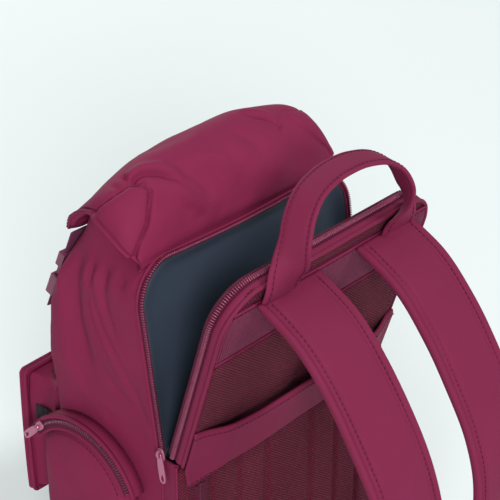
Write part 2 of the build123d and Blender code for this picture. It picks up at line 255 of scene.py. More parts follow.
def pressed(grid, out, lines):
    """Folds in cloth: each line lifts or sinks the grid along its outward normals by a bell curve
    of the distance from it, dying out at the line's ends."""
    total = np.zeros(grid.shape[:2])
    for line, width, depth in lines:
        gap, share = along(grid, line)
        total += depth * bell(gap, width) * held(np.sin(np.pi * (0.04 + 0.92 * share)) * 1.6)
    return grid + out * total[..., None]


def thickened(grid, out, thick):
    """Rows of a closed loop: the grid, then the same row set in by the thickness, backwards."""
    return np.concatenate([grid, (grid - out * thick)[:, ::-1]], 1)


def cloth_uv(points, close):
    """UV in metres of cloth: mean length across the rows and along them."""
    wide = np.linalg.norm(np.diff(points, axis=1, append=points[:, :1]), axis=2).mean(0)
    long = np.linalg.norm(np.diff(points, axis=0), axis=2).mean(1)
    u = np.concatenate([[0.0], np.cumsum(wide)])[: points.shape[1] + (1 if close else 0)]
    v = np.concatenate([[0.0], np.cumsum(long)])
    return np.stack(np.meshgrid(v, u, indexing="ij")[::-1], -1) * MM


def finish_mesh(name, verts, faces, uv, material):
    """Mesh object at the origin from points in millimetres."""
    mesh = bpy.data.meshes.new(name)
    mesh.from_pydata((np.asarray(verts) * MM).tolist(), [], faces)
    mesh.polygons.foreach_set("use_smooth", np.full(len(mesh.polygons), True))
    if uv is not None:
        mesh.uv_layers.new(name="cloth").data.foreach_set("uv", np.asarray(uv, np.float32).ravel())
    mesh.materials.append(MATERIALS[material])
    mesh.update()
    obj = bpy.data.objects.new(name, mesh)
    bpy.context.scene.collection.objects.link(obj)
    return obj


def loft(name, rows, material, caps="fan"):
    """Closed solid from rows of closed loops; the ends are capped, or the rows close on themselves."""
    n, m = rows.shape[:2]
    index = np.arange(n * m).reshape(n, m)
    nxt = np.roll(index, -1, 1)
    low, high = (index, np.roll(index, -1, 0)) if caps == "loop" else (index[:-1], index[1:])
    nlow, nhigh = (nxt, np.roll(nxt, -1, 0)) if caps == "loop" else (nxt[:-1], nxt[1:])
    quads = np.stack([low, high, nhigh, nlow], -1).reshape(-1, 4)
    place = cloth_uv(rows, True)
    if caps == "loop":
        place = np.concatenate([place, place[-1:] + (0, 0.002)], 0)
    r = len(low)
    uv = np.stack([place[:r, :-1], place[1:r + 1, :-1], place[1:r + 1, 1:], place[:r, 1:]], 2).reshape(-1, 2)
    ends = []
    if caps == "fan":
        ends = [index[0].tolist(), index[-1][::-1].tolist()]
    if caps == "strip":
        j = np.arange(m // 2 - 1)
        first = np.stack([index[0][j], index[0][j + 1], index[0][m - 2 - j], index[0][m - 1 - j]], 1)
        last = np.stack([index[-1][j], index[-1][m - 1 - j], index[-1][m - 2 - j], index[-1][j + 1]], 1)
        ends = first.tolist() + last.tolist()
    flat = rows.reshape(-1, 3)
    about = flat - flat.mean(0)
    corner = [about[quads[:, k]] for k in range(4)]
    volume = (corner[0] * np.cross(corner[1], corner[2])).sum()
    volume += (corner[0] * np.cross(corner[2], corner[3])).sum()
    for end in ends:
        p = about[end]
        volume += (p[0] * np.cross(p[1:-1], p[2:])).sum()
    uv = np.concatenate([uv, np.zeros((sum(len(e) for e in ends), 2))])
    faces = quads.tolist() + ends
    if volume < 0:
        uv_quads = uv[: len(quads) * 4].reshape(-1, 4, 2)[:, ::-1].reshape(-1, 2)
        uv = np.concatenate([uv_quads, uv[len(quads) * 4 :]])
        faces = [face[::-1] for face in faces]
    return finish_mesh(name, flat, faces, uv, material)


def slab(name, grid, out, thick, material):
    """Cloth of a real thickness whose outer face is the grid and whose outward directions are given."""
    return loft(name, thickened(grid, np.broadcast_to(out, grid.shape), thick), material, caps="strip")


def sheet(name, grid, thick, material):
    """Cloth of a real thickness whose outer face is the grid."""
    return slab(name, grid, normals(grid), thick, material)


def repeated(name, points, faces, places, axes, material):
    """One small shape set down at every place, turned by that place's three axes."""
    verts = places[:, None] + np.einsum("vk,nkc->nvc", points, axes)
    shift = np.arange(len(places))[:, None, None] * len(points)
    every = (np.asarray(faces)[None] + shift).reshape(-1, len(faces[0]))
    return finish_mesh(name, verts.reshape(-1, 3), every.tolist(), None, material)


def axes_along(path, up):
    """Three axes at each point of a path: along it, across it, and up."""
    tangent = unit(np.gradient(path, axis=0))
    across = unit(np.cross(tangent, np.broadcast_to(np.asarray(up, float), path.shape)))
    return np.stack([tangent, across, np.cross(across, tangent)], 1)


def bead(long, wide, high):
    """Small rounded bar: rings of eight points that narrow at both ends."""
    a = np.linspace(0, 2 * np.pi, 8, endpoint=False)
    rings = [(-0.5, 0.45), (-0.36, 1.0), (0.36, 1.0), (0.5, 0.45)]
    points = [(x * long, r * wide / 2 * np.cos(t), r * high / 2 * np.sin(t)) for x, r in rings for t in a]
    faces = []
    for k in range(3):
        faces += [(k * 8 + j, k * 8 + (j + 1) % 8, k * 8 + 8 + (j + 1) % 8, k * 8 + 8 + j) for j in range(8)]
    faces += [(0, 3, 2, 1), (0, 7, 4, 3), (7, 6, 5, 4), (24, 25, 26, 27), (24, 27, 28, 31), (28, 29, 30, 31)]
    return np.array(points), [tuple(reversed(f)) for f in faces]


def guided(path, up, pitch):
    """Places one pitch apart along a path, with the upward direction there."""
    both = np.concatenate([path, np.broadcast_to(np.asarray(up, float), path.shape)], 1)
    run = np.concatenate([[0.0], np.cumsum(np.linalg.norm(np.diff(path, axis=0), axis=1))])
    at = np.linspace(0, run[-1], max(3, int(run[-1] / pitch)))
    both = np.stack([np.interp(at, run, both[:, k]) for k in range(6)], 1)
    return both[:, :3], unit(both[:, 3:])


def stitched(name, path, up, long=None):
    """Row of stitches: small bars laid end to end along a path, just proud of the cloth."""
    long = long or fittings().stitch / MM
    at, up = guided(path, up, long + STITCH_GAP)
    points, faces = bead(long, STITCH_WIDE, STITCH_HIGH)
    return repeated(name, points, faces, at, axes_along(at, up), "dark_thread")


def coiled(name, path, up, material, across, high):
    """Zip coil: one bar across the tape for each turn of the coil."""
    at, up = guided(path, up, fittings().pitch / MM)
    points, faces = bead(across, COIL_THICK, high)
    turned = axes_along(at, up)[:, [1, 0, 2]] * np.array([1, -1, 1])[None, :, None]
    return repeated(name, points, faces, at, turned, material)


def webbing(name, path, up):
    """Woven webbing along a path, its face turned up."""
    return loft(name, carried(path, up, stadium(WEBBING_WIDE, WEBBING_THICK, 20)), "webbing")


def zip_tape(name, path, up, wide):
    """Woven zip tape along a path, its face turned up."""
    return loft(name, carried(path, up, stadium(wide, TAPE_THICK, 16)), "tape")


def tube(name, path, radius, material, count=10, up=(0.13, 0.21, 0.97)):
    """Round cord along a path."""
    return loft(name, carried(path, up, ring(radius, count)), material)


def plate(name, outer, inner, thick, place, material, count=14):
    """Plate with a hole: a flat oval carried round between the inner and the outer outline."""
    section = stadium(1.0, thick, count, 2.2)
    share = section[:, 0] + 0.5
    flat = inner[:, None] + (outer - inner)[:, None] * share[None, :, None]
    height = np.broadcast_to(section[:, 1], flat.shape[:2])[..., None]
    return loft(name, place(np.concatenate([flat, height], -1)), material, caps="loop")


def rounded(half_x, half_y, radius, count):
    """Closed outline of a rounded rectangle: a circle moved out to the four corners."""
    a = np.linspace(0, 2 * np.pi, count, endpoint=False)
    c, s = np.cos(a), np.sin(a)
    x = np.clip(c * 2, -1, 1) * (half_x - radius)
    y = np.clip(s * 2, -1, 1) * (half_y - radius)
    return np.stack([x + radius * c, y + radius * s], 1)


def cushion(name, outline, heights, place, material, rings=14, power=2.4):
    """Closed pad over an outline: from the middle of the top out to the edge and back underneath,
    its height falling as a superellipse."""
    k = np.sin(np.linspace(0.02, 1, rings) * np.pi / 2)
    rise = (1 - k**power) ** (1 / power)
    middle = outline.mean(0)
    reach = np.concatenate([k, k[::-1][1:]])
    level = np.concatenate([rise * heights[0], -rise[::-1][1:] * heights[1]])
    flat = middle + (outline - middle)[None] * reach[:, None, None]
    rows = np.concatenate([flat, np.broadcast_to(level[:, None, None], flat.shape[:2] + (1,))], -1)
    return loft(name, place(rows), material)


# ---- materials --------------------------------------------------------------------------------
def linear(tint, alpha=1.0):
    """sRGB hex to linear RGBA."""
    v = np.array([int(tint[i : i + 2], 16) / 255 for i in (0, 2, 4)])
    v = np.where(v <= 0.04045, v / 12.92, ((v + 0.055) / 1.055) ** 2.4)
    return (*v.tolist(), alpha)


def shade(tint, factor):
    """Colour made lighter or darker."""
    return tuple(min(1.0, c * factor) for c in linear(tint)[:3]) + (1.0,)


def feed(tree, node, inputs):
    """Sets a node's inputs to values, or links them from sockets."""
    for key, value in inputs.items():
        if isinstance(value, bpy.types.NodeSocket):
            tree.links.new(value, node.inputs[key])
        else:
            node.inputs[key].default_value = value


def add(tree, kind, settings=None, inputs=None):
    """Adds one node with its settings; inputs are values or sockets to link from."""
    node = tree.nodes.new("ShaderNode" + kind)
    for key, value in (settings or {}).items():
        setattr(node, key, value)
    feed(tree, node, inputs or {})
    return node


def started(name):
    """Empty node tree with its output and shader."""
    material = bpy.data.materials.new(name)
    material.use_nodes = True
    tree = material.node_tree
    tree.nodes.clear()
    shader = add(tree, "BsdfPrincipled")
    add(tree, "OutputMaterial", inputs={"Surface": shader.outputs["BSDF"]})
    return material, tree, shader


def band_scale(spacing_mm):
    """Wave texture scale for bands so many millimetres apart on coordinates in metres."""
    return 0.31416 / (spacing_mm * MM)


def mottled(tree, tint, spread, size_mm, coords):
    """Dye that varies a little over the cloth: noise between a darker and a lighter shade."""
    noise = add(tree, "TexNoise", inputs={"Vector": coords, "Scale": 1000 / size_mm, "Detail": 4.0})
    return add(tree, "Mix", {"data_type": "RGBA"}, {
        0: noise.outputs[0], 6: shade(tint, 1 - spread), 7: shade(tint, 1 + spread)}).outputs[2]


def woven(name, tint, spacing, rough=0.72, sheen=0.03, depth=0.14, spread=0.1, sheen_hex="d06a90"):
    """Plain-weave cloth: warp and weft waves at the thread spacing give a fine grain that catches
    the light, and a soft nap lifts the edges."""
    material, tree, shader = started(name)
    coords = add(tree, "TexCoord")
    warp = add(tree, "TexWave", {"bands_direction": "X"}, {
        "Vector": coords.outputs["UV"], "Scale": band_scale(spacing), "Distortion": 0.6, "Detail": 1.0})
    weft = add(tree, "TexWave", {"bands_direction": "Y"}, {
        "Vector": coords.outputs["UV"], "Scale": band_scale(spacing), "Distortion": 0.6, "Detail": 1.0})
    both = add(tree, "Math", {"operation": "MULTIPLY"}, {0: warp.outputs[1], 1: weft.outputs[1]})
    slub = add(tree, "TexNoise", inputs={"Vector": coords.outputs["Object"], "Scale": 700.0, "Detail": 3.0})
    grain = add(tree, "Math", {"operation": "MULTIPLY_ADD"}, {0: slub.outputs[0], 1: 0.5, 2: both.outputs[0]})
    bump = add(tree, "Bump", inputs={"Strength": depth, "Distance": 0.0006, "Height": grain.outputs[0]})
    dyed = mottled(tree, tint, spread, 34.0, coords.outputs["Object"])
    colour = add(tree, "Mix", {"data_type": "RGBA", "blend_type": "MULTIPLY"}, {
        0: 0.16, 6: dyed, 7: add(tree, "CombineColor", inputs={
            0: both.outputs[0], 1: both.outputs[0], 2: both.outputs[0]}).outputs[0]})
    roughness = add(tree, "MapRange", inputs={0: slub.outputs[0], 3: rough - 0.06, 4: rough + 0.08})
    feed(tree, shader, {
        "Base Color": colour.outputs[2], "Roughness": roughness.outputs[0], "Normal": bump.outputs[0],
        "Sheen Weight": sheen, "Sheen Roughness": 0.45, "Sheen Tint": linear(sheen_hex),
        "Specular IOR Level": 0.12})
    return material


def ribbed(name, dark, light, spacing, angle=0.0, rough=0.85, depth=0.5, sheen=0.03, cross=None, sharp=1.0):
    """Ribbed or meshed knit: bands across the cloth at the rib spacing, dark between the ribs."""
    material, tree, shader = started(name)
    coords = add(tree, "TexCoord")
    turned = add(tree, "Mapping", inputs={"Vector": coords.outputs["UV"], "Rotation": (0, 0, angle)})
    rib = add(tree, "TexWave", {"bands_direction": "X"}, {
        "Vector": turned.outputs[0], "Scale": band_scale(spacing), "Distortion": 0.8, "Detail": 2.0,
        "Detail Scale": 1.5})
    height = rib.outputs[1]
    if cross:
        weft = add(tree, "TexWave", {"bands_direction": "Y"}, {
            "Vector": turned.outputs[0], "Scale": band_scale(cross), "Distortion": 0.8, "Detail": 1.0})
        height = add(tree, "Math", {"operation": "MULTIPLY"}, {0: height, 1: weft.outputs[1]}).outputs[0]
    height = add(tree, "Math", {"operation": "POWER"}, {0: height, 1: sharp}).outputs[0]
    speck = add(tree, "TexNoise", inputs={"Vector": coords.outputs["Object"], "Scale": 420.0, "Detail": 3.0})
    uneven = add(tree, "Math", {"operation": "MULTIPLY"}, {0: height, 1: speck.outputs[0]})
    factor = add(tree, "MapRange", inputs={0: uneven.outputs[0], 2: 0.62})
    colour = add(tree, "Mix", {"data_type": "RGBA"}, {
        0: factor.outputs[0], 6: mottled(tree, dark, 0.15, 40.0, coords.outputs["Object"]), 7: linear(light)})
    bump = add(tree, "Bump", inputs={"Strength": depth, "Distance": 0.0008, "Height": height})
    feed(tree, shader, {
        "Base Color": colour.outputs[2], "Normal": bump.outputs[0], "Roughness": rough,
        "Sheen Weight": sheen, "Specular IOR Level": 0.08})
    return material


def moulded(name, tint, rough=0.42, metallic=0.0, coat=0.0):
    """Moulded acetal or lacquered zinc: fine mould grain and slightly worn, lighter patches."""
    material, tree, shader = started(name)
    coords = add(tree, "TexCoord")
    grain = add(tree, "TexNoise", inputs={"Vector": coords.outputs["Object"], "Scale": 1500.0, "Detail": 3.0})
    worn = add(tree, "TexNoise", inputs={"Vector": coords.outputs["Object"], "Scale": 160.0, "Detail": 5.0})
    colour = add(tree, "Mix", {"data_type": "RGBA"}, {
        0: worn.outputs[0], 6: shade(tint, 0.86), 7: shade(tint, 1.16)})
    roughness = add(tree, "MapRange", inputs={0: worn.outputs[0], 3: rough - 0.1, 4: rough + 0.12})
    bump = add(tree, "Bump", inputs={"Strength": 0.12, "Distance": 0.0002, "Height": grain.outputs[0]})
    feed(tree, shader, {
        "Base Color": colour.outputs[2], "Roughness": roughness.outputs[0], "Normal": bump.outputs[0],
        "Metallic": metallic, "Coat Weight": coat})
    return material


MATERIALS = {}


def make_materials():
    """Every finish of the bag, made once."""
    f, g = fabrics(), fittings()
    thread = f.thread / MM
    # Peach-finished polyester plain weave over thin wadding: matt, with a faint rosy bloom.
    MATERIALS["shell"] = woven("puffed_polyester_weave", f.shell, thread)
    # The same cloth drawn tight over foam, a little smoother.
    MATERIALS["strap"] = woven("strap_polyester_weave", f.strap, thread * 0.8, 0.68, 0.03, 0.08, 0.07)
    # Circular knit with fine raised ribs.
    MATERIALS["knit"] = ribbed("ribbed_polyester_knit", "52152f", f.knit, f.rib / MM, 0.0, 0.8, 0.6, sharp=0.8)
    # Warp-knitted spacer mesh: dark ground with a slanting twill of lighter threads.
    MATERIALS["mesh"] = ribbed("spacer_mesh_twill", f.mesh, f.mesh_light, 2.1, 0.9, 0.9, 0.8, 0.02, 2.1, 0.8)
    # Ribbon binding: cross ribs of grosgrain.
    MATERIALS["binding"] = ribbed("grosgrain_binding", "4b1b2c", "6c2c43", 1.1, 0.0, 0.8, 0.4)
    # Brushed tricot lining: almost flat, with a cool satin glow.
    MATERIALS["lining"] = woven("brushed_tricot_lining", f.lining, 0.8, 0.5, 0.2, 0.05, 0.08, "8fa0b4")
    # Woven zip tape: fine herringbone.
    MATERIALS["tape"] = ribbed("woven_zip_tape", "4a1228", f.tape, 1.2, 0.6, 0.75, 0.3)
    MATERIALS["webbing"] = ribbed("tubular_webbing", "64294a", f.webbing, 1.6, 0.0, 0.7, 0.6, cross=1.6)
    MATERIALS["elastic"] = ribbed("knitted_elastic", "241d20", "4a3e43", 1.5, 0.0, 0.85, 0.6)
    # Thread darker than the cloth it sews, for every row of stitches: painted shade along the seams.
    MATERIALS["dark_thread"] = woven("shaded_polyester_thread", "5e1935", 0.5, 0.7, 0.1, 0.1, 0.1)
    # Moulded acetal with a fine spark-eroded grain.
    MATERIALS["plastic"] = moulded("moulded_acetal", g.plastic, 0.45)
    # Die-cast zinc under a satin lacquer.
    MATERIALS["metal"] = moulded("lacquered_zinc", g.metal, 0.32, 0.35, 0.3)
    # Nylon monofilament coil, slightly glossy so that every turn has a glint.
    MATERIALS["coil"] = moulded("nylon_coil", g.coil, 0.3, 0.0, 0.1)
    # A darker copy of the same coil for the side, front and back-pocket zips: painted shade.
    MATERIALS["coil_dark"] = moulded("shaded_nylon_coil", "5c2038", 0.35, 0.0, 0.1)
    MATERIALS["board"] = woven("non_woven_stiffener", "202225", 1.6, 0.9, 0.1, 0.2, 0.1, "808080")


def fabrics():
    return bpy.context.scene.pack_fabrics


def fittings():
    return bpy.context.scene.pack_fittings


def finished(node, material):
    """Gives a CAD node that is carried over its material."""
    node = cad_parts[node]
    node.data.materials.clear()
    node.data.materials.append(MATERIALS[material])


def placed(obj, body, slot, *nodes):
    """Rides on its body and stands for its CAD nodes, which it hides; the slot is not used."""
    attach(obj, body)
    if nodes:
        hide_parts(*nodes)
    return obj


# ---- outlines shared by several pieces --------------------------------------------------------
FRONT = curve([
    (-70, 2), (-80, 30), (-88, 100), (-90, 190), (-91.5, 250), (-93, 290), (-88, 340), (-70, 385), (-58, 410),
    (-54, 440),
], 200)
SIDE_X = 131.4
ZIP_TOP = 172.0
ZIP_R = 38.0
BAG_ZIP_W = -18.4
PANEL_TOP = 184.0


def bag_zip(count, inset):
    """Edge of the laptop opening on the bag: an arch whose top run sags a little."""
    path = arch_path(SIDE_X - inset, ZIP_TOP - inset, ZIP_R - inset, 3.0, count)
    sag = 3.5 * held(1 - (path[:, 0] / 100) ** 2) * (path[:, 1] > 120)
    return shut(path[:, 0], BAG_ZIP_W, path[:, 1] - sag)


def panel_arch(count, inset, w):
    """Outline of the open back panel, set in from its edge."""
    path = arch_path(SIDE_X - inset, PANEL_TOP - inset, ZIP_R - inset, 3.0, count)
    return opened(path[:, 0], w, path[:, 1])


def body_point(t, z):
    """Point of the bag's wall: t runs from the right zip edge round the front to the left one, as
    straight, quarter circle, straight, quarter circle, straight; z is the height."""
    s = (z - HINGE_Z - BAG_ZIP_W * np.sin(LEAN)) / np.cos(LEAN)
    rear = HINGE_Y + BAG_ZIP_W * np.cos(LEAN) - np.where(s > 0, s * np.sin(LEAN), 0)
    # Above the opening the wall steps in under the hood.
    rear = rear - 7.0 * held((z - 400) / 14)
    half = half_at(s, SIDE_X, ZIP_TOP, ZIP_R) - 4.0 * held((30 - z) / 30) ** 2
    # Away from the zip the wall keeps its width up into the hood.
    wide = SIDE_X - 17.0 * held((z - 372) / 50)
    half = half + np.clip(wide - half, 0, None) * eased(np.minimum(t, 1 - t) * 520 / 55)
    front = np.interp(z, FRONT[:, 1], FRONT[:, 0])
    r = np.interp(z, [0, 60, 230, 290, 350, 400, 440], [24, 28, 22, 17, 17, 24, 26])
    side, arc, face = rear - front - r, r * np.pi / 2, 2 * (half - r)
    at = t * (2 * side + 2 * arc + face)
    mirrored = np.where(t > 0.5, 2 * side + 2 * arc + face - at, at)
    a = held((mirrored - side) / np.maximum(arc, 1)) * np.pi / 2
    x = half - r + r * np.cos(a) - np.clip(mirrored - side - arc, 0, None)
    y = rear - np.clip(mirrored, 0, side) - r * np.sin(a)
    return np.stack([np.where(t > 0.5, -x, x), y, np.broadcast_to(z, x.shape)], -1)


SIDE_FOLDS = [
    # On the right-hand side wall, as (y, z) lines, half width and lift in millimetres.
    ([(-48, 404), (-50, 380), (-52, 350), (-52, 330), (-46, 308), (-36, 290)], 8.0, -6.5),
    ([(-36, 408), (-35, 388), (-31, 365), (-26, 345), (-14, 322), (6, 292)], 4.0, 5.0),
    ([(-30, 402), (-31, 372), (-31, 350), (-24, 329), (-12, 310)], 3.0, -4.6),
    ([(-24, 402), (-23, 380), (-19, 357), (-10, 338), (14, 304)], 3.2, 3.6),
    ([(-16, 402), (-14, 374), (-11, 355), (-2, 338)], 3.2, -3.6),
    ([(-4, 402), (-5, 385), (2, 364)], 4.0, 2.4),
    ([(-4, 396), (9, 383)], 2.0, -3.4),
    ([(-12, 402), (3, 386)], 1.8, -2.6),
    ([(14, 350), (22, 342)], 2.0, -2.6),
    ([(4, 300), (16, 288), (32, 262)], 4.0, -1.8),
    ([(-26, 300), (-6, 281), (14, 272), (32, 268)], 3.6, -2.4),
    ([(-68, 300), (-46, 270), (-12, 252)], 9.0, 3.0),
    ([(-60, 296), (-34, 262), (-4, 246)], 5.0, -1.8),
    ([(-70, 340), (-66, 290), (-60, 240)], 10.0, 2.4),
    ([(-66, 392), (-68, 360), (-66, 330)], 4.0, 2.4),
]


def zip_puckers(side):
    """Short creases square to the zip seam, a little uneven, down one side of the opening."""
    rng = np.random.default_rng(5)
    lines = []
    for s in np.arange(8.0, 160.0, 7.5):
        s = s + rng.uniform(-2, 2)
        long = rng.uniform(6, 13)
        x = half_at(s, SIDE_X, ZIP_TOP, ZIP_R)
        start, end = shut(x, BAG_ZIP_W - 1.0, s), shut(x, BAG_ZIP_W - long, s - 3.0)
        line = [start * (side, 1, 1), end * (side, 1, 1)]
        lines.append((line, rng.uniform(1.5, 2.4), rng.uniform(-2.6, -1.3)))
    return lines


class PACK_OT_body(bpy.types.Operator):
    """Bag wall of one lofted cloth, with its pleats and the puckers beside the zip."""

    bl_idname = "pack.body"
    bl_label = "Bag body"

    def execute(self, context):
        t, z = np.meshgrid(np.linspace(0, 1, 270), np.linspace(2.0, 425.0, 152), indexing="ij")
        grid = body_point(t, z)
        out = normals(grid)
        if (out[130, 60] @ np.array([0, -1, 0])) < 0:
            out = -out
        folds = []
        for side in SIDES.values():
            folds += [([(side * 128.0, y, h) for y, h in line], w, d) for line, w, d in SIDE_FOLDS]
            folds += zip_puckers(side)
        for x in (-88, -52, -18, 20, 55, 90):
            folds.append(([(x, -62, 405), (x * 0.98, -80, 352), (x * 0.95, -87, 310)], 6.0, -2.6))
            folds.append(([(x + 14, -62, 405), (x + 12, -82, 345)], 6.0, 2.0))
        # The wall stays flat behind the pockets, and its edges stay on the seams.
        calm = held((t * 500) / 22) * held(((1 - t) * 500) / 22)
        pocket = 1 - held((250 - z) / 30)
        puff = ripple(grid, 150, 2) * 1.6 + ripple(grid, 60, 3) * 0.9 + ripple(grid, 22, 4) * 0.22
        grid = grid + out * (puff * calm * pocket - 0.6)[..., None]
        grid = pressed(grid, out, folds)
        reach = 132.0 + 6.0 * held((z - 238) / 30)
        grid[..., 0] = np.clip(grid[..., 0], -reach, reach)
        placed(slab("bag_body", grid, out, 2.6, "shell"),
               "shell", "shell_fabric", "front_panel", "side_panel_right", "side_panel_left")
        collar = np.linspace(0, 2 * np.pi, 160)
        rows = []
        for h, inset in (
            (386, 4), (400, 5), (412, 7), (420, 8), (423, 9), (422, 11), (414, 12), (400, 12), (386, 11),
        ):
            gather = 2.4 * np.sin(collar * 22) * held((h - 386) / 34)
            loop = rounded(114 - inset + 3, 24 - inset / 2, 9, 160)
            x, y = (loop + unit(loop) * gather[:, None] * 0.6 + (0, -27)).T
            rows.append(spots(x, y, h))
        placed(loft("mouth_collar_gathered", np.array(rows), "lining", caps="open"),
               "shell", "lining", "mouth_collar")
        return {"FINISHED"}


# ---- hood -------------------------------------------------------------------------------------
RIDGE_LINE = curve([
    (23.5, 402.5), (25.0, 418), (19, 441), (3, 461), (-22, 471.5), (-44, 461), (-62, 438), (-74, 414),
    (-79.5, 396),
], 121)
HEM_LINE = curve([
    (121.5, 25.5, 404), (126.5, 9, 417), (127, -8, 427), (124.5, -28, 433), (119, -50, 426),
    (114.5, -67, 414), (111, -76, 402),
], 121)


def hood_point(a, b):
    """Point of the hood: for each b from the zip seam over the ridge to the front hem, a section
    from the right hem to the left one, rising as a superellipse; a runs from -1 to 1."""
    i = b * 120
    low = np.clip(i.astype(int), 0, 119)
    f = (i - low)[..., None]
    middle = RIDGE_LINE[low] * (1 - f) + RIDGE_LINE[low + 1] * f
    hem = HEM_LINE[low] * (1 - f) + HEM_LINE[low + 1] * f
    angle = a * np.pi / 2
    power = 2.7 - 0.9 * held((b - 0.45) / 0.2)
    cos, sin = np.abs(np.cos(angle)), np.abs(np.sin(angle))
    scale = (cos**power + sin**power) ** (-1 / power)
    x, rise = sin * scale * np.sign(a), cos * scale
    y = hem[..., 1] + (middle[..., 0] - hem[..., 1]) * rise
    z = hem[..., 2] + (middle[..., 1] - hem[..., 2]) * rise
    z = z - 6.0 * bell(x * 127 + 92, 42) * rise * np.sin(np.pi * held(b))
    z = z - 8.0 * held((x - 0.5) / 0.35) * rise * held((b - 0.42) / 0.16)
    return np.stack([x * hem[..., 0], y, z], -1)


WING = {
    "fold": [(90, 3, 453), (98.5, 9.8, 444), (107, 16, 433.5), (118, 19, 424), (126, 19.3, 412)],
    "top": [
        (90, 3.5, 453), (94.7, -2, 458), (102.5, -9, 456), (115.6, -11, 453), (124, -18, 445), (128, -26, 434),
    ],
}
HOOD_FOLDS = [
    # Right end: the pleats gathered above the folded triangle, then broad soft creases.
    ([(99, -7, 457), (94, -10.5, 461), (85, -8.8, 463), (75, -1.8, 461), (63, 8, 454)], 2.0, -5.4),
    ([(97, -15, 461), (84, -14, 465), (70, -7, 464), (58, 4, 458)], 4.4, 3.2),
    ([(97, -21, 461), (100, -10, 457)], 2.0, -4.2),
    ([(107, -22, 455), (109, -11, 454)], 2.6, -2.4),
    ([(74, 4, 455), (62, 17, 443), (49, 25, 425)], 5.0, 2.6),
    ([(66, -30, 466), (40, -26, 470), (10, -24, 471)], 7.0, -1.6),
    ([(58, 0, 463), (44, 12, 450), (34, 22, 432)], 6.0, -2.2),
    ([(30, -4, 466), (14, 10, 454), (4, 22, 434)], 8.0, 1.8),
    ([(-14, -6, 468), (-26, 8, 456), (-34, 22, 432)], 7.0, -1.8),
    ([(90, 14, 452), (74, 22, 440), (60, 25, 425)], 9.0, -2.4),
    ([(70, 14, 455), (50, 24, 436), (36, 26, 416)], 11.0, 2.2),
    ([(40, 10, 460), (10, 22, 438), (-6, 26, 414)], 12.0, -2.0),
    ([(0, 8, 461), (-30, 20, 440), (-50, 26, 418)], 14.0, 1.6),
    ([(-42, -17, 470), (-50, -9.5, 467), (-60, -5, 463), (-70, 3, 457)], 2.0, -5.0),
    ([(-44, -24, 470), (-58, -15, 466), (-70, -6, 462)], 4.0, 2.2),
    ([(-60, 20, 440), (-84, 24, 424)], 10.0, -1.8),
    ([(60, -40, 462), (40, -60, 445), (30, -74, 420)], 9.0, -2.0),
    ([(-10, -42, 462), (-20, -66, 440)], 10.0, -2.0),
    ([(-70, -44, 460), (-64, -66, 438), (-66, -76, 416)], 8.0, 1.8),
]


def hem_gaps(a, b):
    """Distances from the hood's side hem and from its front hem, in millimetres."""
    return (1 - np.abs(a)) * 110, (1 - b) * 125


def hood_surface(count_a, count_b):
    """The hood's outer cloth with its folds: grid, outward normals and parameters."""
    a, b = np.meshgrid(np.linspace(1, -1, count_a), np.linspace(0, 1, count_b), indexing="ij")
    grid = hood_point(a, b)
    out = normals(grid)
    if out[count_a // 2, count_b // 2] @ np.array([0, 0, 1]) < 0:
        out = -out
    # At the hem the last rows crowd together, so the direction a little further in is used there.
    near_a = np.clip(np.arange(count_a), 7, count_a - 8)
    near_b = np.clip(np.arange(count_b), 1, count_b - 12)
    out = out[near_a][:, near_b]
    edge = np.minimum.reduce([(1 - np.abs(a)) * 110, b * 130, (1 - b) * 130])
    calm = held(edge / 14)
    puff = ripple(grid, 130, 11) * 1.8 + ripple(grid, 55, 12) * 0.7 + ripple(grid, 26, 13) * 0.18
    lift = puff * calm
    for side in SIDES.values():
        mirror = (side, 1, 1)
        fold = [np.multiply(p, mirror) for p in WING["fold"]]
        top = [np.multiply(p, mirror) for p in WING["top"]]
        gap, _ = along(grid, fold)
        # Forward of the fold line the cloth is doubled and puffs out, with a sharp crease behind.
        line_x = np.interp(grid[..., 2], [400, 412, 424, 433.5, 444, 453], [128, 126, 118, 107, 98.5, 90])
        line_z = np.interp(grid[..., 1], [-44, -34, -26, -18, -11, -9, -2, 3.5, 10],
                           [390, 428, 434, 445, 453, 456, 458, 453, 450])
        inside = (grid[..., 0] * side > line_x) & (grid[..., 1] < 26) & (grid[..., 2] < line_z)
        gap_top, _ = along(grid, top)
        rim = np.minimum(gap, gap_top)
        much = (1.0 if side > 0 else 0.35) * held((26 - grid[..., 1]) / 7) * held(edge / 5)
        much = much * held((grid[..., 1] + 44) / 14)
        lift = lift + much * np.where(inside, 5.0 * (1 - np.exp(-rim / 3.0)) + 1.0, 0.0)
        lift = lift - much * np.maximum(5.2 * bell(gap, 1.9), 3.8 * bell(gap_top, 1.9))
    folds = list(HOOD_FOLDS)
    folds += [([(-x, y, z) for x, y, z in line], w, d) for line, w, d in HOOD_FOLDS[:1]]
    # The hem is turned up and stitched down: a flat band with a shallow step at its inner edge.
    hem = np.minimum((1 - np.abs(a)) * 100 + (b < 0.02) * 50, (1 - b) * 125)
    corner = held((np.hypot(*hem_gaps(a, b)) - 6) / 12)
    lift = lift + (np.where(hem < 9, 1.2, 0) - 2.2 * bell(hem - 10.0, 1.5)) * corner
    seam = b * 130
    lift = lift - 2.2 * bell(seam, 5.0)
    grid = pressed(grid + out * lift[..., None], out, folds)
    return grid, out, a, b


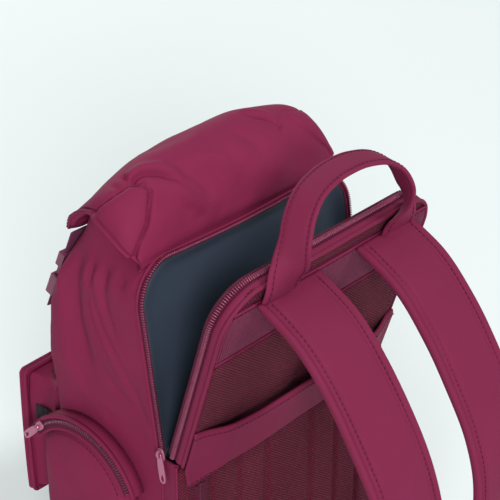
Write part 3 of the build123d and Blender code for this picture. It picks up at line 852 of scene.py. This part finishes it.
class PACK_OT_hood(bpy.types.Operator):
    """Puffed hood that wraps over the mouth, its ends folded like a parcel, with a stitched hem."""

    bl_idname = "pack.hood"
    bl_label = "Hood"

    def execute(self, context):
        grid, out, a, b = hood_surface(230, 150)
        thick = 2.4 + 2.6 * held(np.minimum(*hem_gaps(a, b)) / 16)
        obj = loft("hood_cloth", thickened(grid, out, thick[..., None]), "shell", caps="strip")
        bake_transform(obj)
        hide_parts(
            "crown_panel", "hood_panel", "hood_cheek_right", "hood_cheek_left", "crown_cheek_right",
            "crown_cheek_left", "hood_hem",
        )
        # Two rows of stitches run round the hem, on the flap's side of the bending line.
        for k, inset in enumerate((3.0, 9.0)):
            i = int(round(inset / 100 * 115))
            j = int(round(inset / 125 * 149))
            first = int(0.6 * 149)
            path = np.concatenate([
                grid[i, first : 149 - j], grid[i : 230 - i, 149 - j], grid[229 - i, first : 149 - j][::-1],
            ])
            up = np.concatenate([
                out[i, first : 149 - j], out[i : 230 - i, 149 - j], out[229 - i, first : 149 - j][::-1],
            ])
            placed(stitched(f"hood_hem_stitches_{k}", path + up * 0.2, up), "hood", "shell_fabric")
        return {"FINISHED"}


# ---- laptop opening ---------------------------------------------------------------------------
class PACK_OT_opening(bpy.types.Operator):
    """Zip round the laptop opening on the bag's side, and the padded lining inside it."""

    bl_idname = "pack.opening"
    bl_label = "Laptop opening"

    def execute(self, context):
        path = bag_zip(300, 0.4)
        normal = edge_normals(path, SHUT_OUT, shut(0, BAG_ZIP_W, 80.0))
        rear = np.broadcast_to(SHUT_OUT, path.shape)
        tape = path[:, None] + rear[:, None] * np.array([-6.0, -3.0, 0.0, 1.2])[None, :, None] + (
            normal[:, None] * np.array([-0.2, 0.1, 0.1, -0.2])[None, :, None])
        placed(slab("laptop_zip_tape_bag_woven", tape, normal[:, None], 1.4, "tape"),
               "shell", "zip_tape", "laptop_zip_tape_bag")
        placed(coiled("laptop_zip_coil_bag", path + normal * 0.5 + rear * 0.6, normal, "coil", 3.2, 2.0),
               "shell", "zip_tape")
        placed(tube("laptop_zip_welt_bag", path + normal * 0.6 - rear * 4.6, 1.3, "shell"),
               "shell", "shell_fabric")

        # Lining: a dish that runs in from the zip and across the padded divider.
        edge = arch_path(SIDE_X - 3.0, ZIP_TOP - 4.0, ZIP_R - 3.0, -2.0, 220)
        share = np.array([1.0, 0.985, 0.965, 0.94, 0.9, 0.85, 0.78, 0.7, 0.6, 0.5, 0.4, 0.3, 0.2, 0.1, 0.03])
        depth = np.array([-19.5, -21, -23.0, -25.2, -27.0, -26.6, -25.4, -24.2] + [-23.5] * 7)
        x = edge[:, None, 0] * share[None]
        s = 60 + (edge[:, None, 1] - 60) * share[None]
        grid = shut(x, depth[None], s)
        soft = ripple(grid, 70, 21) * 1.6 * held((1 - share) * 12)[None]
        grid = grid + SHUT_OUT * soft[..., None]
        placed(slab("laptop_lining", grid, SHUT_OUT, 3.0, "lining"), "shell", "lining", "divider_pad")
        lower = np.linspace(-127, 127, 60)
        rows = []
        for h in np.linspace(6, 240, 30):
            rows.append(spots(lower, 41.0 + 1.5 * np.cos(lower / 127 * np.pi), h))
        placed(sheet("divider_pad_lower", np.array(rows), 4.0, "lining"), "shell", "lining")
        return {"FINISHED"}


# ---- back panel -------------------------------------------------------------------------------
def panel_pad(name, place, low, high, back, face, half, top, radius, material, swell=None, rows=70, cols=90):
    """Padded slab across the back: front face between two heights, rounded over its edges to the
    back face, with an optional swell added to the front."""
    s = low + (high - low) * (0.5 - 0.5 * np.cos(np.linspace(0, np.pi, rows)))
    p = np.sin(np.linspace(-1, 1, cols) * np.pi / 2)
    wide = half_at(s, half, top, radius)[:, None]
    x = p[None] * wide
    s = np.broadcast_to(s[:, None], x.shape)
    edge = np.minimum(np.minimum(wide - np.abs(x), s - low), high - s)
    round_off = held(1 - edge / 5.0) ** 2 * (face - back) * 0.55
    w = face - round_off + (swell(x, s, edge) if swell else 0.0)
    front = place(x, w, s)
    rear = place(x, np.full(x.shape, back), s)
    return loft(name, np.concatenate([front, rear[:, ::-1]], 1), material, caps="strip")


def upper_swell(x, s, edge):
    """Two broad cushions either side of a middle channel."""
    channel = bell(x, 7.0) * 2.2
    return 1.6 * held(edge / 25) - channel + 0.4 * np.sin(x / 19) * np.sin(s / 23)


def lower_swell(x, s, edge):
    """Cushions between upright sewn channels."""
    grooves = sum(bell(np.abs(x) - c, 3.0) for c in (30, 66, 100))
    return 2.4 * held(edge / 20) - 3.4 * grooves * held(edge / 8)


def lower_place(x, w, s):
    """Upright back below the hinge: w outwards from the hinge's plane."""
    return spots(x, HINGE_Y + w, s)


class PACK_OT_back(bpy.types.Operator):
    """Back panel that hinges open: mesh pad, ribbed yoke, binding, tapes, lining and luggage band."""

    bl_idname = "pack.back"
    bl_label = "Back panel"

    def execute(self, context):
        out, half = OPEN_OUT, SIDE_X - 1.0
        mesh = panel_pad("back_mesh_upper", opened, 3.0, 119.0, -4.0, 3.6, half, PANEL_TOP, 37, "mesh",
                         upper_swell, 90, 130)
        placed(mesh, "back_panel", "back_mesh", "upper_back_pad")
        yoke = panel_pad("yoke_knit", opened, 117.5, 169.0, -4.0, 3.4, half, PANEL_TOP, 37, "knit",
                         lambda x, s, e: 0.8 * held(e / 12), 50, 120)
        placed(yoke, "back_panel", "knit_yoke", "knit_yoke")
        strip = panel_pad("top_band", opened, 168.0, 183.6, -4.0, 2.2, half, PANEL_TOP, 37, "mesh",
                          None, 30, 120)
        placed(strip, "back_panel", "binding", "top_binding")
        for k, s in enumerate((119.0, 168.4)):
            x = np.linspace(-1, 1, 90) * half_at(np.array(s), half - 2, PANEL_TOP, 37)
            placed(tube(f"back_seam_cord_{k}", opened(x, 3.4, np.full(90, s)), 1.2, "strap", 8, OPEN_UP),
                   "back_panel", "strap_fabric")
            placed(stitched(f"back_seam_stitches_{k}", opened(x, 3.6, np.full(90, s - 3.0)), out),
                   "back_panel", "strap_fabric")

        # Rim of the panel, from the sewn edge to the coil: cord, strip of cloth, coil, bound edge.
        rim = panel_arch(300, 0.6, -4.0)
        outward = edge_normals(rim, OPEN_OUT, opened(0, -4.0, 80.0))
        bands = (
            # Name, finish, slot, inset, thickness; how far along the rim; bulge outwards; stands for.
            ("panel_rim_cloth", "strap", "zip_tape", 0.0, 1.8,
             (1.0, -1.5, -4.0, -6.6), (-0.4, 0.7, 0.8, -0.2), ("laptop_zip_tape_panel",)),
            ("panel_zip_tape", "tape", "zip_tape", 0.6, 1.2,
             (-5.6, -8.0, -10.0, -13.2), (-0.6, -0.4, -0.4, -0.8), ()),
            ("panel_bound_edge", "binding", "binding", 1.8, 2.6,
             (-12.0, -12.8, -14.4, -16.0), (-0.6, 0.5, 0.7, -0.3), ()),
        )
        for name, finish, slot, inset, thick, widths, swell, nodes in bands:
            line = panel_arch(300, 0.6 + inset, 0.0)
            strip = line[:, None] + out * np.array(widths)[None, :, None] + (
                outward[:, None] * np.array(swell)[None, :, None])
            placed(slab(name, strip, outward[:, None], thick, finish), "back_panel", slot, *nodes)
        line = panel_arch(300, 0.6, -9.7)
        placed(coiled("laptop_zip_coil_panel", line + outward * 0.2, unit(outward + out * 0.5), "coil",
                      4.4, 2.4),
               "back_panel", "zip_tape")
        placed(tube("panel_edge_cord", rim + out * 6.0 - outward * 0.4, 1.8, "strap", 10, out),
               "back_panel", "strap_fabric")
        for k, w in enumerate((-5.4, -14.6)):
            line = panel_arch(300, 0.0 if k == 0 else 1.2, w)
            placed(stitched(f"panel_rim_stitches_{k}", line[4:-4], outward[4:-4], 2.6),
                   "back_panel", "binding")

        top = PANEL_TOP - 4.0
        lining = panel_pad("panel_lining", opened, 3.0, top, -6.4, -9.0, SIDE_X - 4, top, 34, "lining",
                           lambda x, s, e: -1.2 * held(e / 18), 60, 100)
        placed(lining, "back_panel", "lining", "back_lining")

        # Luggage band: cloth sewn at both sides, bowed out, its upper edge sagging.
        p = np.linspace(-1, 1, 140)
        x = p * (SIDE_X - 0.8)
        bow = np.interp(np.abs(x), [0, 60, 100, 118, 131], [20.5, 20, 17.0, 8.6, 6.6])
        bow = np.convolve(np.pad(bow, 6, "edge"), np.ones(13) / 13, "valid")
        q = np.linspace(0, 1, 26)
        low_edge = np.interp(np.abs(x), [0, 90, 131], [-4.0, -7.0, -14.0])
        high_edge = np.interp(np.abs(x), [0, 60, 131], [41, 41.5, 44])
        s = low_edge[:, None] + (high_edge - low_edge)[:, None] * q[None]
        roll = 1.6 * held(np.abs(q - 0.5) * 2 - 0.86) / 0.14
        # Below the hinge its ends stand off the lower pad.
        stand = 7.0 * held(-s / 13) * held((np.abs(x) - 90) / 30)[:, None]
        w = bow[:, None] - roll[None] + 0.6 * np.sin(x / 14.0)[:, None] * np.sin(q * np.pi)[None] + stand
        grid = opened(x[:, None], w, s)
        placed(slab("luggage_band_cloth", grid, out, 2.4, "strap"),
               "back_panel", "strap_fabric", "luggage_band")
        for k, q_at in enumerate((0.07, 0.93)):
            i = int(q_at * 25)
            placed(stitched(f"luggage_band_stitches_{k}", grid[:, i] + out * 0.2, out),
                   "back_panel", "strap_fabric")
        return {"FINISHED"}


class PACK_OT_lower_back(bpy.types.Operator):
    """Back below the hinge: channelled mesh pad, side gussets, corner wings, pocket zip and base."""

    bl_idname = "pack.lower_back"
    bl_label = "Lower back and base"

    def execute(self, context):
        pad = panel_pad("back_mesh_lower", lower_place, 5.0, 236.0, -4.0, 4.2, 131.4, 236, 6, "mesh",
                        lower_swell, 120, 180)
        placed(pad, "shell", "back_mesh", "lower_back_pad")
        for name, side in SIDES.items():
            front = HINGE_Y - 19.5
            y, z = np.meshgrid(np.linspace(front, HINGE_Y - 3.0, 12), np.linspace(4, 237.8, 90), indexing="ij")
            x = 131.0 + 0.9 * np.sin(np.pi * (y - front) / 16.5) + 0.4 * ripple(spots(y, y, z), 22, 31)
            grid = spots(side * x, y, z)
            placed(slab(f"zip_gusset_{name}_cloth", grid, (side, 0, 0), 2.6, "strap"),
                   "shell", "strap_fabric", f"zip_gusset_{name}")
            for k, at in enumerate((HINGE_Y - 19.8, HINGE_Y - 3.4)):
                line = spots(side * SIDE_X, at, np.linspace(4, 237.0, 80))
                placed(tube(f"gusset_cord_{name}_{k}", line, 1.2, "shell", 8), "shell", "shell_fabric")
            # Corner wing that anchors the lower webbing: a stitched triangle.
            outline = curve([
                (84, 12), (108, 12.4), (130.5, 12), (130.6, 36), (130.5, 62), (107, 37), (84, 12),
            ], 60)[:-1]
            wing = cushion(f"corner_wing_{name}_cloth", outline, (1.6, 0.9), lambda r, side=side: spots(
                side * r[..., 0], HINGE_Y + 6.4 + r[..., 2], r[..., 1]), "strap", 10)
            placed(wing, "shell", "shell_fabric", f"corner_wing_{name}")
        line = spots(113.5, HINGE_Y + 6.2, np.linspace(60, 216, 120))
        placed(zip_tape("back_pocket_zip_tape", line, (0, 1, 0), 13),
               "shell", "zip_tape", "back_pocket_zip")
        placed(coiled("back_pocket_zip_coil", line + (0, 0.9, 0), (0, 1, 0), "coil_dark", 4.6, 1.5),
               "shell", "zip_tape")
        base = cushion("base_cloth", rounded(124, 67.3, 24, 120), (3.6, 1.9),
                       lambda r: r + np.array([0, 3.5, 2.0]), "shell", 24, 5.0)
        placed(base, "shell", "shell_fabric", "base_panel")
        return {"FINISHED"}


# ---- straps and handle ------------------------------------------------------------------------
STRAP_LINE = [
    (122, 397), (160, 375), (190, 344), (216, 307), (240, 264), (252, 222), (250, 175), (228, 126), (188, 92),
]


def strap_profile(width):
    """Section of a padded strap: flat crowned face, a groove inside each edge, and a rolled cord
    along the edge; the underside is the same but flatter."""
    half = width / 2
    u = np.sin(np.linspace(-1, 1, 61) * np.pi / 2)
    x = u * half
    gap = half - np.abs(x)
    roll = np.sqrt(held(1 - ((gap - 3.2) / 3.3) ** 2)) * 3.9 * (gap < 6.5)
    crown = 3.4 + 1.6 * (1 - (x / half) ** 2)
    face = np.where(gap < 6.0, np.maximum(roll, 0.4), crown)
    face = face - 2.6 * bell(gap - 7.2, 1.1) - 0.9 * bell(gap - 12.0, 1.2)
    under = np.where(gap < 6.0, -roll * 0.8, -3.6)
    top = np.stack([x, face], 1)
    bottom = np.stack([x, under], 1)[::-1][1:-1]
    return np.concatenate([top, bottom])


class PACK_OT_straps(bpy.types.Operator):
    """Shoulder straps with piped edges, ladder locks and the lower webbing."""

    bl_idname = "pack.straps"
    bl_label = "Shoulder straps"

    def execute(self, context):
        line = curve(STRAP_LINE, 150)
        for name, side in SIDES.items():
            path = spots(side * 61.0, line[:, 0], line[:, 1])
            tangent = unit(np.gradient(path, axis=0))
            out = np.cross(np.array([1.0, 0, 0]), tangent)
            out = out * np.sign(out[40] @ np.array([0, 1.0, 0.6]))
            run = np.linspace(0, 1, 150)
            taper = np.interp(run, [0, 0.86, 0.95, 1], [1, 1, 0.72, 0.44])
            flat = strap_profile(75.0)
            plump = np.interp(run, [0, 0.03, 0.95, 1], [0.6, 1, 1, 0.5])
            rows = path[:, None] + (np.array([1.0, 0, 0]) * flat[:, :1])[None] * taper[:, None, None]
            rows = rows + out[:, None] * flat[None, :, 1:] * plump[:, None, None]
            wave = ripple(rows, 60, 41 + side) * 0.5
            rows = rows + out[:, None] * wave[..., None]
            placed(loft(f"shoulder_strap_{name}_padded", rows, "strap"),
                   f"shoulder_strap_{name}", "strap_fabric", f"shoulder_strap_{name}")
            for k, across in enumerate((-1, 1)):
                seam_path = path + np.array([1.0, 0, 0]) * across * (37.5 - 9.6) * taper[:, None] + out * 4.3
                placed(stitched(f"strap_stitches_{name}_{k}", seam_path[3:-8], out[60]),
                       f"shoulder_strap_{name}", "strap_fabric")
            finished(f"ladder_lock_{name}", "plastic")
            foot, top = np.array([side * 112.0, 82, 30]), np.array([side * 70.0, 169, 78.8])
            web = foot + (top - foot) * np.linspace(0, 1, 60)[:, None]
            along_web = top - foot
            normal = unit(np.cross(along_web, np.array([along_web[1], -along_web[0], 0])))
            placed(webbing(f"strap_webbing_{name}_woven", web, normal),
                   f"strap_webbing_{name}", "webbing", f"strap_webbing_{name}")
        return {"FINISHED"}


class PACK_OT_handle(bpy.types.Operator):
    """Carry handle: a folded band that lies flat at its ends and twists a quarter turn to the top."""

    bl_idname = "pack.handle"
    bl_label = "Carry handle"

    def execute(self, context):
        right = [
            (75, 7.5, 170), (74.5, 8, 184), (73, 7.5, 200), (69, 3, 217), (60, -5, 232), (43, -13, 242),
            (20, -17.5, 246.5),
        ]
        points = right + [(0, -18.5, 247.5)] + [(-x, w, s) for x, w, s in right[::-1]]
        flat = curve(points, 180)
        path = opened(flat[:, 0], flat[:, 1], flat[:, 2])
        tangent = unit(np.gradient(path, axis=0))
        # The band faces outwards at its ends and upwards at the top.
        turn = eased((flat[:, 2] - 176) / 46)
        radial = unit(path - opened(0, -6.0, 196.0))
        face = unit(OPEN_OUT * (1 - turn)[:, None] + (radial + OPEN_UP * 0.2) * turn[:, None])
        width = np.interp(turn, [0, 0.5, 1], [42, 30, 27])
        profile = stadium(1.0, 4.2, 44, 2.4)
        x = profile[:, 0]
        rise = profile[:, 1] * (1 + 0.22 * bell(np.abs(x) - 0.45, 0.05))
        rise = rise - 0.5 * np.sign(profile[:, 1]) * bell(np.abs(x) - 0.36, 0.03)
        shape = np.stack([x[None] * width[:, None], np.broadcast_to(rise, (180, 44))], -1)
        rows = carried(path, face, shape)
        placed(loft("carry_handle_band", rows, "strap"), "handle", "strap_fabric", "carry_handle")
        across = unit(np.cross(tangent, face))
        for k, sign in enumerate((-1, 1)):
            line = path + across * (sign * 0.37 * width)[:, None] + face * 2.1
            placed(stitched(f"carry_handle_stitches_{k}", line, face), "handle", "strap_fabric")
        return {"FINISHED"}


# ---- pockets ----------------------------------------------------------------------------------
ARC_Y, ARC_Z, ARC_R = -40.0, 169.0, 66.0
POCKET_X, POCKET_Z = 133.0, 180.0


def arc_path(radius, low, high, x, count):
    """Arched line on the side, from the rear end to the front end, in degrees."""
    a = np.radians(np.linspace(low, high, count))
    return spots(x, ARC_Y + radius * np.cos(a), ARC_Z + radius * np.sin(a))


class PACK_OT_side_pockets(bpy.types.Operator):
    """Side pockets: a puffed front under an arched zip with its two welts."""

    bl_idname = "pack.side_pockets"
    bl_label = "Side pockets"

    def execute(self, context):
        arc = arc_path(59.0, 24, 141, 0, 70)[:, 1:]
        outline = np.vstack([arc, [
            (-86, 150), (-84, 110), (-81, 60), (-80, 40), (-74, 35), (-20, 34.2), (22, 35), (28, 41), (28, 90),
            (25, 150),
        ]])
        outline = resample(np.vstack([outline, outline[:1]]), 221)[:-1]
        for name, side in SIDES.items():
            def bulge(r, side=side):
                p = spots(side * (POCKET_X + r[..., 2]), r[..., 0], r[..., 1])
                wave = ripple(p, 48, 51 + side) * 1.1 * held(r[..., 2] / 10)
                return p + np.array([side, 0, 0]) * wave[..., None]
            placed(cushion(f"side_pocket_{name}_cloth", outline, (19.5, 0.6), bulge, "shell", 46, 3.4),
                   "shell", "shell_fabric", f"side_pocket_{name}")
            zip_line = arc_path(ARC_R - 0.5, 24, 143, side * 144.6, 120)
            radial = unit(zip_line - np.array([side * 120.0, ARC_Y, ARC_Z]))
            face = unit(radial * 0.4 + np.array([side * 1.0, 0, 0]))
            placed(zip_tape(f"side_zip_{name}_tape", zip_line, face, 11.0),
                   "shell", "zip_tape", f"side_zip_{name}")
            placed(coiled(f"side_zip_{name}_coil", zip_line + face * 0.9, face, "coil_dark", 3.8, 1.9),
                   "shell", "zip_tape")
            wall_in = arc_path(ARC_R + 5.2, 20, 144, side * 132.4, 120)
            wall_out = arc_path(ARC_R + 3.6, 20, 144, side * 144.2, 120)
            rows = np.stack([wall_in, wall_in * 0.5 + wall_out * 0.5, wall_out], 1)
            outwards = unit(wall_in - np.array([side * POCKET_X, ARC_Y, ARC_Z]))[:, None]
            placed(slab(f"side_zip_flap_{name}", rows, outwards, 2.0, "shell"), "shell", "shell_fabric")
            for k, (radius, x, thick) in enumerate(((ARC_R + 4.2, 144.6, 1.9), (ARC_R - 6.6, 146.0, 1.5))):
                line = arc_path(radius, 20, 144, side * x, 120)
                placed(tube(f"side_zip_welt_{name}_{k}", line, thick, "shell", 10, (1, 0, 0)),
                       "shell", "shell_fabric")
            lines = arc_path(ARC_R - 11.5, 24, 140, side * 148.2, 100)
            placed(stitched(f"side_pocket_stitches_{name}", lines, (side, 0, 0)), "shell", "shell_fabric")
        return {"FINISHED"}


class PACK_OT_front_pocket(bpy.types.Operator):
    """Front pocket: padded front, folded gusset with elastic, and its zip along the top."""

    bl_idname = "pack.front_pocket"
    bl_label = "Front pocket"

    def execute(self, context):
        def facing(r):
            p = spots(r[..., 0], -128.4 - r[..., 2], POCKET_Z + r[..., 1])
            return p + np.array([0, 1, 0]) * (ripple(p, 70, 61) * 0.9)[..., None]
        placed(cushion("front_pocket_face", rounded(129, 67, 8, 200), (3.4, 3.4), facing, "shell", 30, 7.0),
               "shell", "shell_fabric", "front_pocket_panel")
        edge = rounded(128.4, 66.4, 8, 200)
        edge = np.vstack([edge, edge[:1]])
        for k, y in enumerate((-131.0, -125.6)):
            path = spots(edge[:, 0], y, POCKET_Z + edge[:, 1])
            placed(loft(f"front_pocket_piping_{k}", carried(path[:-1], (0, 1, 0), ring(1.7, 10)), "shell",
                        "loop"),
                   "shell", "shell_fabric")
        # Gusset: loops round the pocket's side, pinched where the corners fold in.
        depth = np.linspace(0, 1, 26)
        loops = []
        for q in depth:
            half_x, half_z = 125.0 - 4.5 * np.sin(np.pi * q), 63.5 - 3.0 * np.sin(np.pi * q)
            loop = rounded(half_x, half_z, 10, 160)
            loops.append(spots(loop[:, 0], -125.8 + 35.3 * q, POCKET_Z + loop[:, 1]))
        rows = np.array(loops)
        rows = rows + unit(rows - rows.mean(1, keepdims=True)) * (ripple(rows, 26, 62) * 0.9)[..., None]
        placed(loft("front_pocket_gusset", rows, "shell"), "shell", "shell_fabric", "front_pocket")
        for name, side in SIDES.items():
            y, z = np.meshgrid(np.linspace(-124.4, -91.4, 30), np.linspace(190, 212, 16), indexing="ij")
            grid = spots(side * 122.9 + side * 0.5 * np.sin(y), y, z)
            placed(slab(f"pocket_elastic_{name}", grid, (side, 0, 0), 2.0, "elastic"),
                   "shell", "elastic", *(("pocket_elastics",) if side > 0 else ()))
        line = spots(np.linspace(-108, 108, 120), -106.0, 242.0)
        placed(zip_tape("front_zip_tape_woven", line, (0, 0, 1), 13), "shell", "zip_tape", "front_zip_tape")
        placed(coiled("front_zip_coil", line + (0, 0, 0.7), (0, 0, 1), "coil_dark", 4.4, 1.2),
               "shell", "zip_tape")
        return {"FINISHED"}


# ---- zip sliders, pulls and buckles -----------------------------------------------------------
def slider_axes(kind, side):
    """Where a slider sits and which way it faces: origin, outwards, across, and up its zip."""
    if kind == "laptop":
        return shut(side * 132.0, -17.0, 9.0), np.array([side, 0, 0.0]), side * SHUT_OUT, SHUT_UP
    if kind == "side":
        a = np.radians(134.0)
        at = np.array([side * 146.0, ARC_Y + ARC_R * np.cos(a), ARC_Z + ARC_R * np.sin(a)])
        across, up = side * spots(0, np.cos(a), np.sin(a)), spots(0, -np.sin(a), np.cos(a))
        return at, np.array([side, 0, 0.0]), across, up
    return spots(100, -106, 242.8), spots(0, 0, 1), spots(0, -1, 0), spots(1, 0, 0)


def put(origin, out, across, up):
    """Maps (across, up, outwards) to the frame."""
    def place(r):
        return origin + r[..., :1] * across + r[..., 1:2] * up + r[..., 2:3] * out
    return place


def teardrop(top_half, low_half, top, low):
    """Closed outline, narrow above and wide below with round ends."""
    c, s = ring(1, 48).T
    middle, reach = (top + low) / 2, (top - low) / 2
    share = (1 + s) / 2
    half = low_half + (top_half - low_half) * share
    x = np.sign(c) * np.abs(c) ** 0.55 * half
    return np.stack([x, middle + reach * np.sign(s) * np.abs(s) ** 0.8], 1)


class PACK_OT_fittings(bpy.types.Operator):
    """Zip sliders and their pulls, and the side-release buckles with their webbing."""

    bl_idname = "pack.fittings"
    bl_label = "Zip pulls and buckles"

    def execute(self, context):
        for kind, hangs in (("laptop", 29.0), ("side", 25.0), ("front", 24.0)):
            for name, side in SIDES.items():
                if kind == "front" and side < 0:
                    continue
                end = "" if kind == "front" else f"_{name}"
                tag, slider_node, pull_node = kind + end, f"{kind}_slider{end}", f"{kind}_pull{end}"
                origin, out, across, up = slider_axes(kind, side)
                place = put(origin, out, across, up)
                shape = teardrop(3.4, 4.3, 5.6, -5.6)
                raised = put(origin + out * 1.8, out, across, up)
                body = cushion(f"slider_{tag}_body", shape, (1.2, 0.7), raised, "metal", 8, 4.0)
                placed(body, slider_node, "zip_metal", slider_node)
                loop = curve([
                    (0, 4.2, 2.0), (0, 4.2, 4.6), (0, 2.6, 6.2), (0, -0.4, 6.2), (0, -2.0, 4.6), (0, -2.0, 2.0),
                ], 30)
                bail = place(carried(loop, (1, 0, 0), stadium(1.3, 3.0, 12, 2.2)))
                placed(loft(f"slider_{tag}_bail", bail, "metal"), slider_node, "zip_metal")
                # The pull hangs from its top bar, a ring neck that widens to a plate with a hole.
                pivot = origin + out * 4.0 + up * 1.1
                hang = -1.0 if kind == "side" else 1.0
                low = put(pivot, out, across, up * hang)
                outer = teardrop(3.2, 4.1, 1.0, 1.0 - hangs)
                hole = teardrop(0.9, 1.8, 8.5 - hangs, 3.4 - hangs)
                placed(plate(f"pull_{tag}_tab", outer, hole, 1.9, low, "metal"),
                       pull_node, "zip_metal", pull_node)
        slope = np.radians(24.0)
        down = np.array([0, -np.sin(slope), -np.cos(slope)])
        out = np.array([0, -np.cos(slope), np.sin(slope)])
        for name, side in SIDES.items():
            origin = np.array([side * 106.0, -70.0, 390.0])
            frame_place = put(origin, out, np.array([1.0, 0, 0]), -down)
            for node in (f"buckle_tongue_{name}", f"buckle_socket_{name}"):
                finished(node, "plastic")
            line = frame_place(spots(0, np.linspace(12, -13, 40), 0))
            upper = webbing(f"hood_web_{name}", line, out)
            # The tongue slides down to its socket; the two ends of the webbing's reach are worked out here but
            # not used.
            start, end = frame_place(np.array([[0, 9.0, 0], [0, -12.5, 0]])) * MM
            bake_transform(upper)
            if side > 0:
                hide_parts("hood_webbing")
            line = frame_place(spots(0, np.linspace(-60.5, -78.4, 40), 0))
            placed(webbing(f"front_web_{name}", line, out),
                   "shell", "webbing", *(("front_webbing",) if side > 0 else ()))
        for node in ("base_board", "back_board"):
            finished(node, "board")
        return {"FINISHED"}


class PACK_OT_stage(bpy.types.Operator):
    """Pale floor, soft studio light and the camera."""

    bl_idname = "pack.stage"
    bl_label = "Stage"

    def execute(self, context):
        stage = context.scene.pack_stage
        a, e = np.radians(stage.azimuth), np.radians(stage.elevation)
        back = np.array([np.sin(a) * np.cos(e), -np.cos(a) * np.cos(e), np.sin(e)])
        right = np.array([np.cos(a), np.sin(a), 0.0])
        up = np.cross(back, right)
        aim = np.array([0.0, 0.0283, 0.372])
        camera = bpy.data.cameras.new("camera")
        camera.lens = stage.lens
        camera.sensor_width = 36.0
        camera.clip_end = 50.0
        holder = bpy.data.objects.new("camera", camera)
        holder.matrix_world = Matrix.Translation(Vector(aim + back * stage.distance)) @ Matrix(
            (right, up, back)).transposed().to_4x4()
        context.scene.collection.objects.link(holder)
        context.scene.camera = holder

        MATERIALS["floor"], tree, shader = started("matt_paper_floor")
        noise = add(tree, "TexNoise", inputs={"Scale": 2.0})
        colour = add(tree, "Mix", {"data_type": "RGBA"}, {
            0: noise.outputs[0], 6: shade(stage.floor, 0.99), 7: linear(stage.floor)})
        feed(tree, shader, {"Base Color": colour.outputs[2], "Roughness": 1.0, "Specular IOR Level": 0.0})
        size = 9000.0
        corners = [(-size, -size, -0.5), (size, -size, -0.5), (size, size, -0.5), (-size, size, -0.5)]
        floor = finish_mesh("floor", corners, [(0, 1, 2, 3)], None, "floor")

        world = bpy.data.worlds.new("studio")
        world.use_nodes = True
        ground = world.node_tree.nodes["Background"]
        ground.inputs["Color"].default_value = linear("f0fbf9")
        ground.inputs["Strength"].default_value = 0.44
        context.scene.world = world
        context.scene.view_settings.view_transform = "Standard"
        lamps = (
            ("key", (-1.6, 3.0, 5.0), 1.3, 142.0),
            ("top", (0.6, -1.1, 5.5), 3.0, 26.0),
            ("front", (-1.9, -4.2, 2.4), 2.4, 105.0),
            ("fill", (3.2, 3.6, 2.2), 1.6, 190.0),
        )
        for name, place, wide, power in lamps:
            light = bpy.data.lights.new(name, "AREA")
            light.shape = "DISK"
            light.size = wide
            light.energy = power
            lamp = bpy.data.objects.new(name, light)
            lamp.location = place
            lamp.rotation_euler = (Vector(place) - Vector((0, 0.02, 0.3))).to_track_quat("Z", "Y").to_euler()
            context.scene.collection.objects.link(lamp)
        return {"FINISHED"}


OPERATORS = (
    PACK_OT_body, PACK_OT_hood, PACK_OT_opening, PACK_OT_back, PACK_OT_lower_back, PACK_OT_straps,
    PACK_OT_handle, PACK_OT_side_pockets, PACK_OT_front_pocket, PACK_OT_fittings, PACK_OT_stage,
)


class PACK_PT_panel(bpy.types.Panel):
    """Lists the settings and the pieces."""

    bl_label = "Travel backpack"
    bl_idname = "PACK_PT_panel"
    bl_space_type = "VIEW_3D"
    bl_region_type = "UI"
    bl_category = "Backpack"

    def draw(self, context):
        scene = context.scene
        for group in (scene.pack_fabrics, scene.pack_fittings, scene.pack_stage):
            box = self.layout.box()
            for key in group.__annotations__:
                box.prop(group, key)
        for operator in OPERATORS:
            self.layout.operator(operator.bl_idname)


CLASSES = (FabricSettings, FittingSettings, StageSettings, *OPERATORS, PACK_PT_panel)


def register():
    for cls in CLASSES:
        bpy.utils.register_class(cls)
    bpy.types.Scene.pack_fabrics = PointerProperty(type=FabricSettings)
    bpy.types.Scene.pack_fittings = PointerProperty(type=FittingSettings)
    bpy.types.Scene.pack_stage = PointerProperty(type=StageSettings)


def unregister():
    del bpy.types.Scene.pack_stage
    del bpy.types.Scene.pack_fittings
    del bpy.types.Scene.pack_fabrics
    for cls in reversed(CLASSES):
        bpy.utils.unregister_class(cls)


def main():
    register()
    make_materials()
    for operator in OPERATORS:
        getattr(bpy.ops.pack, operator.bl_idname.split(".")[1])()


if __name__ == "__main__":
    main()
